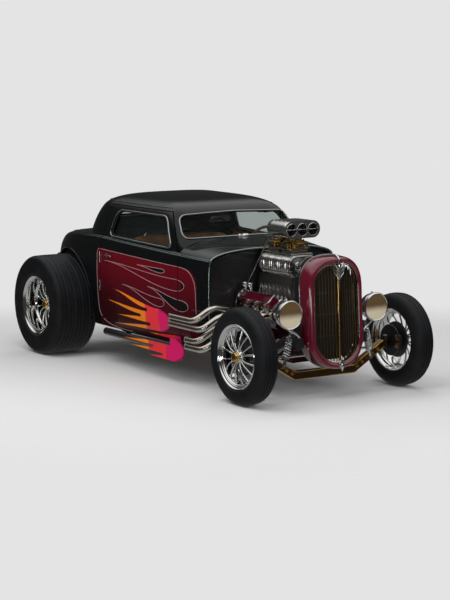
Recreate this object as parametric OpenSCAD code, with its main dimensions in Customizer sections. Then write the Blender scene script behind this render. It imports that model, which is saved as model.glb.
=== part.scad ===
// Chopped three-window coupe hot rod with an exposed, supercharged V8.
// X points forward, Y to the car's left, Z up, in millimetres. The origin is on the ground,
// midway between the tail and the front of the front tyres.

/* [Stance] */
// Distance between the front and rear axles
wheelbase = 2845; // [2600:5:3000]
// Front axle, ahead of the origin
front_axle_x = 1565; // [1450:5:1700]
// Distance between the front tyres' middles
front_track = 1450; // [1400:5:1560]
// Distance between the rear tyres' middles
rear_track = 1545; // [1520:5:1640]

/* [Tyres and wheels] */
// Outer radius of the front tyre
front_tyre_r = 362; // [330:1:380]
// Width of the front tyre
front_tyre_w = 165; // [130:1:190]
// Radius of the front rim's lip
front_rim_r = 243; // [200:1:260]
// Outer radius of the rear tyre
rear_tyre_r = 425; // [380:1:440]
// Width of the rear tyre
rear_tyre_w = 400; // [330:1:420]
// Radius of the rear rim's lip
rear_rim_r = 252; // [200:1:270]

/* [Body] */
// Half width of the body at the doors
body_half_w = 680; // [640:1:700]
// How much narrower each side is at the front of the cowl
cowl_taper = 80; // [40:1:110]
// Height of the sill
sill_z = 300; // [270:1:330]
// Height of the belt at the back of the door
belt_z = 1060; // [1020:1:1090]
// How far the belt falls from the back of the door to the cowl's front
belt_drop = 65; // [20:1:90]
// Height of the roof's top
roof_z = 1423; // [1380:1:1500]
// Length of the door
door_length = 1140; // [1040:5:1160]
// Door's front edge, behind the front axle
door_setback = 1062; // [1040:1:1100]
// Cowl's front edge, behind the front axle
cowl_setback = 672; // [640:1:700]
// Tail's end, behind the rear axle
rear_overhang = 647; // [600:1:700]
// Thickness of the roof, cowl and tail walls
wall = 24; // [16:1:30]
// Thickness of a door
door_t = 36; // [28:1:45]
// Gap round a door or the deck lid
panel_gap = 7; // [5:1:9]
// Half width of the deck lid
lid_half_w = 400; // [360:5:430]

/* [Engine] */
// Middle of the engine, behind the front axle
engine_setback = 465; // [450:1:480]
// Height of the crankshaft
crank_z = 400; // [380:1:420]
// Length of a cylinder head
head_length = 470; // [420:1:490]
// Outer radius of a header tube
header_r = 25; // [18:1:28]

/* [Steering] */
// Kingpin, inboard of the tyre's middle
kingpin_inset = 125; // [115:1:140]
// Length of a steering arm
arm_length = 150; // [130:1:160]

/* [Hidden] */
$fn = 48;

black = "#0b0c0e";
candy_red = "#5a0716";
chrome = "#c9c9c6";
bronze = "#8a6a35";
brass = "#c79a3c";
rubber = "#232426";
leather = "#7a4a1e";
iron = "#2a2a2c";

// Places along the car
rear_axle_x = front_axle_x - wheelbase;
cowl_front_x = front_axle_x - cowl_setback;
door_front_x = front_axle_x - door_setback;
door_rear_x = door_front_x - door_length;
tail_x = rear_axle_x - rear_overhang;
engine_x = front_axle_x - engine_setback;
firewall_x = cowl_front_x - 50;
tail_length = door_rear_x - tail_x;
kingpin_y = front_track / 2 - kingpin_inset;

// ---- Curves and shells ----

function lerp(a, b, t) = a + (b - a) * t;
function clamp(v, low, high) = min(max(v, low), high);
// A smooth value from one column of a table at a row number that needn't be whole
function smooth_row(table, r, col) =
    let (n = len(table), i = clamp(floor(r), 0, n - 2), t = r - i,
         a = table[max(i - 1, 0)][col], b = table[i][col],
         c = table[i + 1][col], d = table[min(i + 2, n - 1)][col])
    0.5 * (2 * b + (c - a) * t + (2 * a - 5 * b + 4 * c - d) * t * t
           + (3 * b - a - 3 * c + d) * t * t * t);
// A point on a quarter of a superellipse, as its shares of the two half axes
function super_point(angle, n) = [pow(max(cos(angle), 0), 2 / n), pow(max(sin(angle), 0), 2 / n)];
function unit(v) = v / max(norm(v), 1e-9);
function times(a, b) = [a[0] * b[0], a[1] * b[1], a[2] * b[2]];

// The outward normal at one point of a grid. Rows go up and columns go forward on the left side.
function grid_normal(g, i, j, wrap) =
    let (rows = len(g), cols = len(g[0]),
         up = g[min(i + 1, rows - 1)][j] - g[max(i - 1, 0)][j],
         right = wrap ? g[i][(j + 1) % cols] - g[i][(j + cols - 1) % cols]
                      : g[i][min(j + 1, cols - 1)] - g[i][max(j - 1, 0)])
    unit(cross(up, right));

// A wall of thickness t behind a grid of points. The masks keep an edge's cut square to an axis.
// A hole is [first row, last row, first column, last column].
module shell(g, t, wrap = false, row0 = [1, 1, 1], row1 = [1, 1, 1], col0 = [1, 1, 1],
             col1 = [1, 1, 1], hole = [0, 0, 0, 0], cap = false) {
    rows = len(g);
    cols = len(g[0]);
    spans = wrap ? cols : cols - 1;
    inner = [for (i = [0:rows - 1]) [for (j = [0:cols - 1])
        let (n = grid_normal(g, i, j, wrap),
             a = i == 0 ? times(n, row0) : n,
             b = i == rows - 1 ? times(a, row1) : a,
             c = j == 0 && !wrap ? times(b, col0) : b,
             d = j == cols - 1 && !wrap ? times(c, col1) : c)
        g[i][j] - t * unit(d)]];
    points = concat([for (r = g) each r], [for (r = inner) each r]);
    n = rows * cols;
    function at(i, j) = i * cols + (j % cols);
    function cut(i, j) = i >= hole[0] && i < hole[1] && j >= hole[2] && j < hole[3];
    skin = [for (i = [0:rows - 2]) for (j = [0:spans - 1]) if (!cut(i, j))
        each [[at(i, j), at(i, j + 1), at(i + 1, j + 1)], [at(i, j), at(i + 1, j + 1), at(i + 1, j)]]];
    lining = [for (f = skin) [f[0] + n, f[2] + n, f[1] + n]];
    function wall_face(a, b) = [[a, a + n, b + n], [a, b + n, b]];
    bottom = [for (j = [0:spans - 1]) each wall_face(at(0, j), at(0, j + 1))];
    top = cap ? [] : [for (j = [0:spans - 1]) each wall_face(at(rows - 1, j + 1), at(rows - 1, j))];
    left = wrap ? [] : [for (i = [0:rows - 2]) each wall_face(at(i + 1, 0), at(i, 0))];
    right = wrap ? [] : [for (i = [0:rows - 2]) each wall_face(at(i, cols - 1), at(i + 1, cols - 1))];
    hole_rows = hole[1] > hole[0] ? [for (j = [hole[2]:hole[3] - 1]) each concat(
        wall_face(at(hole[0], j + 1), at(hole[0], j)), wall_face(at(hole[1], j), at(hole[1], j + 1)))] : [];
    hole_cols = hole[1] > hole[0] ? [for (i = [hole[0]:hole[1] - 1]) each concat(
        wall_face(at(i, hole[2]), at(i + 1, hole[2])), wall_face(at(i + 1, hole[3]), at(i, hole[3])))] : [];
    lids = cap ? [[for (j = [0:cols - 1]) at(rows - 1, j)],
                  [for (j = [cols - 1:-1:0]) at(rows - 1, j) + n]] : [];
    polyhedron(points, concat(skin, lining, bottom, top, left, right, hole_rows, hole_cols, lids));
}

// A tube along a list of points, with rings square to the path
module sweep(path, r, sides = 12) {
    n = len(path);
    function along(i) = unit(path[min(i + 1, n - 1)] - path[max(i - 1, 0)]);
    points = [for (i = [0:n - 1]) let (
        d = along(i), side = unit(cross(d, abs(d[2]) > 0.95 ? [1, 0, 0] : [0, 0, 1])), up = cross(side, d))
        for (k = [0:sides - 1]) path[i] + r * (cos(360 * k / sides) * side + sin(360 * k / sides) * up)];
    faces = concat([[for (k = [0:sides - 1]) k]],
        [for (i = [0:n - 2]) for (k = [0:sides - 1]) let (m = (k + 1) % sides)
            each [[i * sides + k, (i + 1) * sides + k, (i + 1) * sides + m],
                  [i * sides + k, (i + 1) * sides + m, i * sides + m]]],
        [[for (k = [sides - 1:-1:0]) (n - 1) * sides + k]]);
    polyhedron(points, faces);
}

// Points along a path whose corners are rounded off by a quadratic curve of the given reach
function rounded_path(corners, reach, steps = 5) = concat([corners[0]],
    [for (i = [1:len(corners) - 2]) let (
        p = corners[i], a = p + reach * unit(corners[i - 1] - p), b = p + reach * unit(corners[i + 1] - p))
        for (k = [0:steps]) let (t = k / steps) (1 - t) * (1 - t) * a + 2 * t * (1 - t) * p + t * t * b],
    [corners[len(corners) - 1]]);

module rod(a, b, r) {
    d = b - a;
    translate(a) rotate([0, acos(d[2] / norm(d)), atan2(d[1], d[0])]) cylinder(h = norm(d), r = r);
}
module both_sides() {
    children();
    mirror([0, 1, 0]) children();
}
module on_right() { mirror([0, 1, 0]) children(); }

// ---- Body surfaces ----

// How much the body has narrowed and fallen at x, from the back of the door to the cowl's front
function forward_share(x) = clamp((x - door_rear_x) / (cowl_front_x - door_rear_x), 0, 1);
function narrowing(x) = cowl_taper * pow(forward_share(x), 1.8);
function fall(x) = belt_drop * forward_share(x);

// Columns: height as a share of sill to belt at the door, the same at the tail's middle,
// how far the side is inside the widest line, how far back the tail reaches as a share of its length
SIDE = [
    [0.000, 0.125, 45, 0.915],
    [0.132, 0.224, 20, 0.965],
    [0.316, 0.355, 6, 0.995],
    [0.526, 0.500, 0, 1.000],
    [0.724, 0.645, 0, 0.985],
    [0.868, 0.776, 4, 0.945],
    [0.955, 0.875, 11, 0.870],
    [0.978, 0.941, 18, 0.760],
    [0.989, 0.984, 25, 0.620],
    [0.996, 1.007, 30, 0.490],
    [1.000, 1.016, 35, 0.385]
];
SIDE_TOP = 10;
side_n = 2.8;
function side_z(share, x) = sill_z + (belt_z - sill_z) * share - fall(x) * share;
// The side of the cowl and door at x, at row r of SIDE
function side_point(x, r) =
    [x, body_half_w - smooth_row(SIDE, r, 2) - narrowing(x), side_z(smooth_row(SIDE, r, 0), x)];
// The tail at row r, at an angle round it: 0 at the door's back edge and 90 at the middle of the tail
function tail_n(r) = lerp(side_n, 3, clamp((r - 6) / 4, 0, 1));
function tail_point(r, angle) =
    let (p = super_point(angle, tail_n(r)), s = pow(sin(angle), 2),
         share = lerp(smooth_row(SIDE, r, 0), smooth_row(SIDE, r, 1), s))
    [door_rear_x - smooth_row(SIDE, r, 3) * tail_length * p[1],
     (body_half_w - smooth_row(SIDE, r, 2)) * p[0], sill_z + (belt_z - sill_z) * share];
function tail_angle(r, y) = acos(pow(y / (body_half_w - smooth_row(SIDE, r, 2)), tail_n(r) / 2));

// Columns: height as a share of belt to roof, half width as a share of that at the belt,
// how far the front and the rear have drawn in from those at the belt, how far forward
// of the door's back edge each ring has its middle
GLASSHOUSE = [
    [0.000, 1.000, 0, 0, 0],
    [0.138, 0.983, 22, 12, 0],
    [0.386, 0.935, 95, 49, 0],
    [0.606, 0.878, 165, 104, 0],
    [0.744, 0.822, 225, 164, 0],
    [0.848, 0.741, 305, 254, 40],
    [0.923, 0.620, 420, 374, 110],
    [0.970, 0.450, 570, 524, 200],
    [0.992, 0.233, 740, 664, 290]
];
GLASSHOUSE_TOP = 8;
glasshouse_half_w = body_half_w - 35;
windshield_x = door_front_x + panel_gap;
rear_glass_x = door_rear_x - 0.385 * tail_length;
front_n = 20;
function glasshouse_z(r, x) =
    let (h = smooth_row(GLASSHOUSE, r, 0)) lerp(belt_z, roof_z, h) - fall(x) * pow(1 - h, 2);
function glasshouse_front(r) = windshield_x - smooth_row(GLASSHOUSE, r, 2);
function glasshouse_half(r) = glasshouse_half_w * smooth_row(GLASSHOUSE, r, 1);
// Round the glasshouse: angles from -90 at the rear's middle, over 0 at the door's back edge, to 90 at the front's middle
function glasshouse_point(r, angle) =
    let (w = glasshouse_half(r), rear = angle < 0, p = super_point(abs(angle), rear ? 3 : lerp(front_n, 4, clamp((r - 4) / 4, 0, 1))),
         reach = rear ? rear_glass_x + smooth_row(GLASSHOUSE, r, 3) : glasshouse_front(r),
         x = lerp(door_rear_x + smooth_row(GLASSHOUSE, max(r, 4), 4), reach, p[1]),
         rise = rear ? (belt_z - sill_z) * 0.016 * pow(sin(angle), 2) * (1 - smooth_row(GLASSHOUSE, r, 0)) : 0)
    [x, (w - narrowing(x)) * p[0], glasshouse_z(r, x) + rise];
// The glasshouse's side wall at x, for the door
function glasshouse_side(r, x) =
    let (u = clamp((x - door_rear_x) / (glasshouse_front(r) - door_rear_x), 0, 1))
    [x, (glasshouse_half(r) - narrowing(x)) * pow(1 - pow(u, front_n), 1 / front_n), glasshouse_z(r, x)];

REAR_ANGLES = [-90, -78, -66, -54, -42, -30, -20, -10];
FRONT_ANGLES = [0, 0.002, 0.06, 2, 20, 35, 45, 55, 70, 88, 89.94, 90];
function mirrored(row) = [for (p = row) [p[0], -p[1], p[2]]];
function reversed(row) = [for (i = [len(row) - 1:-1:0]) row[i]];

pillar_w = 72;
door_top_row = 3.7;
// Front edge of the door at row r of the glasshouse, with a margin added for the opening
function door_edge_x(r, margin) = min(door_front_x, glasshouse_front(r) - pillar_w) + margin;
DOOR_UPPER_ROWS = [0.12, 0.6, 1.2, 1.8, 2.4, 3.1, door_top_row];
// The door's outline seen from the side, grown by a margin
function door_outline(margin) = concat(
    [[door_rear_x - margin, sill_z - 80], [door_rear_x - margin, side_z(1, door_rear_x)],
     [door_rear_x - margin, glasshouse_z(door_top_row, door_rear_x) + margin]],
    [for (r = reversed(DOOR_UPPER_ROWS)) [door_edge_x(r, margin), glasshouse_z(r, door_edge_x(r, 0)) + margin]],
    [[door_front_x + margin, side_z(1, door_front_x) + margin], [door_front_x + margin, sill_z - 80]]);

door_cols = 12;
door_x = function (i, front) lerp(door_rear_x, front, i / door_cols);
function door_grid() = concat(
    [for (r = [0:1:SIDE_TOP]) [for (j = [0:door_cols]) side_point(door_x(j, door_front_x), r)]],
    [for (r = DOOR_UPPER_ROWS) [for (j = [0:door_cols]) glasshouse_side(r, door_x(j, door_edge_x(r, 0)))]]);

// Side window, seen from the side: corners of its opening, which are then rounded
window_rear_x = door_rear_x + 95;
window_r = 45;
function window_front(r) = door_edge_x(r, -62);
window_bottom_row = 0.35;
window_top_row = 3.05;
module window_outline(margin) {
    corners = [
        [window_rear_x, glasshouse_z(window_bottom_row, window_rear_x)],
        [window_rear_x + 25, glasshouse_z(window_top_row, window_rear_x)],
        [window_front(window_top_row), glasshouse_z(window_top_row, 0)],
        [window_front(window_bottom_row), glasshouse_z(window_bottom_row, door_front_x) + 14]];
    offset(r = window_r + margin) offset(delta = -window_r) polygon(corners);
}

// Hinge barrels at the door's back edge: the door's below, the body's above
hinge_x = door_rear_x - panel_gap / 2;
hinge_y = body_half_w + 4;
hinge_r = 9;
HINGE_Z = [600, 840];
module door_barrels(grow) {
    for (z = HINGE_Z) translate([hinge_x, hinge_y, z - grow]) cylinder(h = 50 + 2 * grow, r = hinge_r + grow);
}
module body_barrels(grow) {
    for (z = HINGE_Z) translate([hinge_x, hinge_y, z + 50.5 - grow]) cylinder(h = 40 + 2 * grow, r = hinge_r + grow);
}
module door_left() {
    color(black) {
        difference() {
            shell(door_grid(), door_t, row0 = [1, 1, 0], row1 = [1, 1, 0], col0 = [0, 1, 1], col1 = [0, 1, 1]);
            translate([0, 900, 0]) rotate([90, 0, 0]) linear_extrude(500) window_outline(0);
            body_barrels(5);
        }
        door_barrels(0);
    }
}
// Flat glass set in the middle of the door's leaning wall
module door_glass_left() {
    low = glasshouse_side(window_bottom_row, -100);
    high = glasshouse_side(window_top_row, -100);
    lean = atan2(low[1] - high[1], high[2] - low[2]);
    color("#20262a", 0.4) intersection() {
        translate([0, low[1] - door_t / 2 + 2, low[2]]) rotate([lean, 0, 0])
            translate([-1000, -5, -150]) cube([2000, 5, 600]);
        translate([0, 900, 0]) rotate([90, 0, 0]) linear_extrude(500) window_outline(-0.4);
    }
}

// The cowl: up the right side, over the top and down the left
cowl_top_front_z = 1070;
cowl_top_rear_z = 1116;
cowl_n = 2.5;
function cowl_top(x) = lerp(cowl_top_rear_z, cowl_top_front_z, (x - windshield_x) / (cowl_front_x - windshield_x));
function cowl_arch(x, angle) =
    let (p = super_point(angle, cowl_n), low = side_point(x, 6))
    [x, low[1] * p[0], low[2] + (cowl_top(x) - low[2]) * p[1]];
function windshield_plane_x(z) =
    let (h = clamp((z - belt_z + 38) / 110, 0, 1)) windshield_x - 22 * h;
function cowl_half_row(t) = concat(
    [for (r = [0:0.75:6]) side_point(lerp(windshield_x, cowl_front_x, t), r)],
    [for (a = [12:13:90]) let (z = cowl_arch(windshield_x, a)[2])
        cowl_arch(lerp(windshield_plane_x(z), cowl_front_x, t), a)]);
// Rows run from the left sill over to the right one, so that columns run forward
function cowl_grid() =
    let (steps = [0:0.2:1], rows = [for (t = steps) cowl_half_row(t)], n = len(rows[0]))
    concat([for (i = [0:n - 1]) [for (row = rows) row[i]]],
           [for (i = [n - 2:-1:0]) mirrored([for (row = rows) row[i]])]);
shelf_w = 1100;
module cowl() {
    color(black) {
        shell(cowl_grid(), wall, row0 = [1, 1, 0], row1 = [1, 1, 0], col0 = [0, 1, 1], col1 = [0, 1, 1]);
        // The ledge that carries the windscreen's frame
        translate([windshield_x - 48, -shelf_w / 2, side_z(1, windshield_x) - 14]) cube([70, shelf_w, 14]);
        translate([windshield_x + 6, -shelf_w / 2 - 20, side_z(1, windshield_x) - 14]) cube([16, shelf_w + 40, 14]);
    }
}

module section_outline(x, margin) {
    half = concat([for (r = [0:0.75:6]) side_point(x, r)], [for (a = [12:13:90]) cowl_arch(x, a)]);
    offset(delta = -margin) polygon([for (p = concat(half, reversed(mirrored(half)))) [p[1], p[2]]]);
}
// The tunnel over the transmission, and the smaller one over the driveshaft, seen from behind
big_tunnel = [190, 588];
small_tunnel = [112, 500];
module tunnel_outline(size, grow) {
    w = size[0] + grow;
    top = size[1] + grow;
    chamfer = size[0] * 0.45;
    polygon([[-w, 100], [w, 100], [w, top - chamfer], [w - chamfer, top], [chamfer - w, top], [-w, top - chamfer]]);
}
tunnel_t = 7;
module firewall() {
    color(black) translate([firewall_x, 0, 0]) rotate([90, 0, 90]) linear_extrude(8)
        difference() {
            intersection() {
                section_outline(firewall_x, wall + 1.5);
                translate([-700, floor_z]) square([1400, 900]);
            }
            tunnel_outline(big_tunnel, 0);
        }
}

floor_z = 318;
floor_t = 8;
tunnel_step_x = 215;
floor_rear_x = door_rear_x + 60;
module floor_pan() {
    half = body_half_w - 45 - wall - 22;
    front_half = half - cowl_taper - 6;
    color(black) difference() {
        union() {
            translate([0, 0, floor_z - floor_t]) linear_extrude(floor_t)
                polygon([[firewall_x - 0.4, -front_half], [door_front_x, -half + 50], [floor_rear_x, -half + 4],
                         [floor_rear_x, half - 4], [door_front_x, half - 50], [firewall_x - 0.4, front_half]]);
            intersection() {
                union() {
                    translate([tunnel_step_x, 0, 0]) rotate([90, 0, 90])
                        linear_extrude(firewall_x - 0.4 - tunnel_step_x) tunnel_outline(big_tunnel, tunnel_t);
                    translate([floor_rear_x, 0, 0]) rotate([90, 0, 90])
                        linear_extrude(tunnel_step_x - floor_rear_x + 1) tunnel_outline(small_tunnel, tunnel_t);
                }
                translate([floor_rear_x - 1, -400, floor_z - floor_t]) cube([2000, 800, 600]);
            }
        }
        translate([tunnel_step_x + tunnel_t, 0, 0]) rotate([90, 0, 90]) linear_extrude(1000) tunnel_outline(big_tunnel, 0);
        translate([floor_rear_x - 5, 0, 0]) rotate([90, 0, 90]) linear_extrude(1000) tunnel_outline(small_tunnel, 0);
    }
}
boot_floor_z = 640;
tub_wall_y = 545;
module boot_floor() {
    half = tub_wall_y - 8.4;
    color(black) difference() {
        rotate([90, 0, 0]) translate([0, 0, -half]) linear_extrude(2 * half)
            polygon([[floor_rear_x - 0.5, floor_z - floor_t], [floor_rear_x - 9, floor_z - floor_t],
                     [floor_rear_x - 9, boot_floor_z - 8], [rear_axle_x - 250, boot_floor_z - 8],
                     [rear_axle_x - 250, boot_floor_z], [floor_rear_x - 0.5, boot_floor_z]]);
        translate([floor_rear_x - 50, 0, 0]) rotate([90, 0, 90]) linear_extrude(100) tunnel_outline(small_tunnel, 0);
    }
}

// Roof, pillars and rear wall of the glasshouse
function glasshouse_ring(r, lift = 0) =
    let (half = concat([for (a = REAR_ANGLES) glasshouse_point(r, a)], [for (a = FRONT_ANGLES) glasshouse_point(r, a)]),
         n = len(half), full = concat(half, mirrored([for (i = [n - 2:-1:1]) half[i]])))
    [for (p = full) p + [0, 0, lift]];
seat_gap = 0.4;
module roof() {
    rows = [for (r = [0:0.5:GLASSHOUSE_TOP]) glasshouse_ring(r, r == 0 ? seat_gap : 0)];
    color(black) difference() {
        shell(rows, wall, wrap = true, row0 = [1, 1, 0], cap = true);
        translate([0, 900, 0]) rotate([90, 0, 0]) linear_extrude(1800) polygon(door_outline(panel_gap));
        translate([100, 0, 0]) rotate([90, 0, 90]) linear_extrude(600) windshield_outline(0);
        translate([-1400, 0, 0]) rotate([90, 0, 90]) linear_extrude(500) rear_window_outline(0);
    }
}
windshield_r = 45;
module windshield_outline(margin) {
    top = 505;
    bottom = 548;
    offset(r = windshield_r + margin) offset(delta = -windshield_r)
        polygon([[-bottom, 1118], [bottom, 1118], [top, 1292], [0, 1306], [-top, 1292]]);
}
rear_window_half = 330;
module rear_window_outline(margin) {
    offset(r = 40 + margin) offset(delta = -40)
        polygon([[-rear_window_half, 1178], [rear_window_half, 1178],
                 [rear_window_half - 25, 1292], [25 - rear_window_half, 1292]]);
}
module windshield_glass() {
    low = glasshouse_point(1, 90);
    high = glasshouse_point(3, 90);
    lean = atan2(low[0] - high[0], high[2] - low[2]);
    color("#20262a", 0.4) intersection() {
        translate([low[0] - wall / 2, 0, low[2]]) rotate([0, -lean, 0]) translate([-3, -700, -80]) cube([6, 1400, 400]);
        translate([100, 0, 0]) rotate([90, 0, 90]) linear_extrude(600) windshield_outline(-0.4);
    }
}
module rear_glass() {
    low = glasshouse_point(1.5, -90);
    high = glasshouse_point(3, -90);
    lean = atan2(high[0] - low[0], high[2] - low[2]);
    color("#20262a", 0.4) intersection() {
        translate([low[0] + wall / 2 + 8, 0, low[2]]) rotate([0, lean, 0]) translate([-3, -500, -120]) cube([6, 1000, 400]);
        translate([-1400, 0, 0]) rotate([90, 0, 90]) linear_extrude(500) rear_window_outline(-0.4);
    }
}

// Tail and quarter panels. Columns run from the right door's edge round the tail to the left one.
quarter_cols = 8;
lid_cols = 4;
function tail_half_row(r, lid_y) =
    let (edge = tail_angle(r, lid_y))
    concat([tail_point(r, 0) - [panel_gap, 0, 0]],
           [for (j = [1:quarter_cols]) tail_point(r, edge * j / quarter_cols)],
           [for (j = [1:lid_cols]) tail_point(r, tail_angle(r, lid_y * (1 - j / lid_cols)))]);
function tail_row(r, lid_y) =
    let (half = tail_half_row(r, lid_y), n = len(half))
    concat(mirrored(half), [for (i = [n - 2:-1:0]) half[i]]);
TAIL_ROWS = [0, 0.7, 1.4, 2.2, 3, 4, 5, 5.6, 6.2, 6.8, 7.4, 8, 8.6, 9.2, 9.7, 10];
lid_first = 3;
lid_last = 13;
// The flange under the glasshouse
function flange_row(lid_y) = [for (p = tail_row(SIDE_TOP, lid_y))
    let (c = [door_rear_x, 0, p[2]], d = p - c) c + d * (1 - (wall + 6) / max(norm(d), 1))];
arch_r = rear_tyre_r + 55;
lid_gap = panel_gap + 2;
tail_lamp_y = 478;
tail_lamp_row = 3.7;
tail_lamp_r = 34;
tail_lamp_at = tail_point(tail_lamp_row, tail_angle(tail_lamp_row, tail_lamp_y));
module rear_body() {
    edge = lid_half_w + lid_gap;
    grid = concat([for (r = TAIL_ROWS) tail_row(r, edge)], [flange_row(edge)]);
    c = quarter_cols;
    color(black) difference() {
        shell(grid, wall, row0 = [1, 1, 0], col0 = [0, 1, 1], col1 = [0, 1, 1],
              hole = [lid_first, lid_last, c, c + 2 * lid_cols]);
        both_sides() translate([rear_axle_x, tub_wall_y - 20, rear_tyre_r]) rotate([-90, 0, 0])
            cylinder(h = 300, r = arch_r, $fn = 96);
        both_sides() door_barrels(5);
        both_sides() translate(tail_lamp_at + [70, 0, 0]) rotate([0, -90, 0]) cylinder(h = 120, r = tail_lamp_r + 0.5);
    }
    color(black) both_sides() {
        body_barrels(0);
        // A tab that ties the side to the boot floor
        translate([door_rear_x - 120, tub_wall_y - 8, boot_floor_z - 8]) cube([60, body_half_w - wall - tub_wall_y + 16, 8]);
    }
}
module deck_lid() {
    first = TAIL_ROWS[lid_first];
    last = TAIL_ROWS[lid_last];
    n = 12;
    grid = [for (i = [0:n]) let (r = lerp(first + 0.08, last - 0.06, i / n))
        [for (j = [-lid_cols:lid_cols]) let (y = lid_half_w * abs(j) / lid_cols, p = tail_point(r, tail_angle(r, y)))
            [p[0], j < 0 ? -p[1] : p[1], p[2]]]];
    color(black) shell(grid, wall - 6);
}
// Inner wheel arches behind the body's skin
module tail_core(margin) {
    rows = [for (r = TAIL_ROWS) tail_row(r, lid_half_w)];
    n = len(rows[0]);
    points = [for (row = rows) each [for (p = row) [p[0] + (p[0] < door_rear_x - 1 ? margin : 0),
        p[1] - sign(p[1]) * margin, p[2]]]];
    faces = concat([for (i = [0:len(rows) - 2]) for (j = [0:n - 1]) let (k = (j + 1) % n)
        each [[i * n + j, i * n + k, (i + 1) * n + k], [i * n + j, (i + 1) * n + k, (i + 1) * n + j]]],
        [[for (j = [n - 1:-1:0]) j]], [[for (j = [0:n - 1]) (len(rows) - 1) * n + j]]);
    polyhedron(points, faces);
}
module wheel_tubs() {
    color(black) intersection() {
        both_sides() translate([rear_axle_x, 0, rear_tyre_r]) rotate([-90, 0, 0]) difference() {
            translate([0, 0, tub_wall_y - 8]) cylinder(h = 200, r = arch_r - 2, $fn = 96);
            translate([0, 0, tub_wall_y]) cylinder(h = 300, r = arch_r - 10, $fn = 96);
        }
        tail_core(wall + 3);
        difference() {
            translate([-3000, -1000, 0]) cube([3000, 2000, 1500]);
            translate([rear_axle_x, 0, rear_tyre_r]) rotate([90, 0, 0]) cylinder(h = 1400, r = 62, center = true);
        }
        translate([-3000, -1000, sill_z + 60]) cube([3000 + door_rear_x - 40, 2000, 700]);
    }
}

// ---- Cabin ----

module dashboard() {
    color(candy_red) difference() {
        translate([windshield_x - 49.5, 0, 0]) rotate([90, 0, 90]) linear_extrude(70)
            intersection() {
                section_outline(windshield_x, wall + 20);
                translate([-540, 880]) square([1080, side_z(1, windshield_x) - 14.4 - 880]);
            }
        rod(wheel_hub, wheel_hub + 600 * column_dir, column_r + 0.5);
    }
}
seat_w = 1060;
seat_x = door_rear_x + 130;
module seat_cushion() {
    color(leather) difference() {
        translate([seat_x + 165, -seat_w / 2, floor_z + 0.5]) cube([470, seat_w, 250]);
        translate([seat_x, 0, 0]) rotate([90, 0, 90]) linear_extrude(800) tunnel_outline(small_tunnel, tunnel_t + 4);
    }
}
module seat_back() {
    color(leather) difference() {
        translate([seat_x, 0, 0]) rotate([90, 0, 0]) translate([0, 0, -seat_w / 2]) linear_extrude(seat_w)
            polygon([[0, floor_z + 0.5], [160, floor_z + 0.5], [160, 560], [60, 1080], [-60, 1085], [-60, 700]]);
        translate([seat_x - 100, 0, 0]) rotate([90, 0, 90]) linear_extrude(800) tunnel_outline(small_tunnel, tunnel_t + 4);
    }
}
wheel_hub = [door_front_x - 245, 345, 1005];
column_dip = 24;
column_dir = [cos(column_dip), 0, -sin(column_dip)];
steering_r = 182;
column_r = 19;
module steering_wheel() {
    color(leather) translate(wheel_hub) rotate([0, column_dip - 90, 0]) {
        rotate_extrude($fn = 64) translate([steering_r - 12, 0]) circle(r = 12, $fn = 24);
        for (a = [90, 210, 330]) rotate([0, 0, a]) translate([20, -12, -3]) cube([steering_r - 36, 24, 6]);
        translate([0, 0, -14]) cylinder(h = 34, r = 30);
    }
}
module steering_column() {
    start = wheel_hub + 14.3 * column_dir;
    end = wheel_hub + (firewall_x - 8 - wheel_hub[0]) / column_dir[0] * column_dir;
    color(chrome) rod(start, end, column_r);
}

// ---- Chassis ----

rail_w = 50;
rail_y = 300;
rail_splay = 2.2;
module frame_rail_left() {
    f = front_axle_x;
    r = rear_axle_x;
    top = floor_z - floor_t - 0.3;
    color(iron) translate([f, rail_y, 0]) rotate([0, 0, -rail_splay]) rotate([90, 0, 0]) translate([-f, 0, -rail_w / 2])
        linear_extrude(rail_w)
        polygon([[f + 120, 395], [f - 60, 395], [f - 330, top - 90], [r + 560, top - 90], [r + 380, top - 50],
                 [r + 170, 500], [r - 170, 500], [r - 375, 465], [r - 375, 540], [r - 200, 580], [r + 190, 580],
                 [r + 430, top + 4], [r + 560, top], [f - 320, top], [f - 50, 470], [f + 35, 470], [f + 42, 555],
                 [f + 78, 555], [f + 85, 470], [f + 120, 470]]);
}
module beam_between_rails(x, z, h, depth) {
    half = rail_y + (front_axle_x - x) * tan(rail_splay) - rail_w / 2 - 0.3 - depth / 2 * tan(rail_splay);
    translate([x - depth / 2, -half, z]) cube([depth, 2 * half, h]);
}
module crossmembers() {
    color(iron) {
        beam_between_rails(front_axle_x - 45, 405, 55, 90);
        translate([front_axle_x - 45, pitman_y - 34, 405]) cube([70, 68, 60]);
        beam_between_rails(engine_x - 560, crank_z - 150.3, 40, 110);
        beam_between_rails(rear_axle_x - 330, 500, 45, 60);
    }
}
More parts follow.
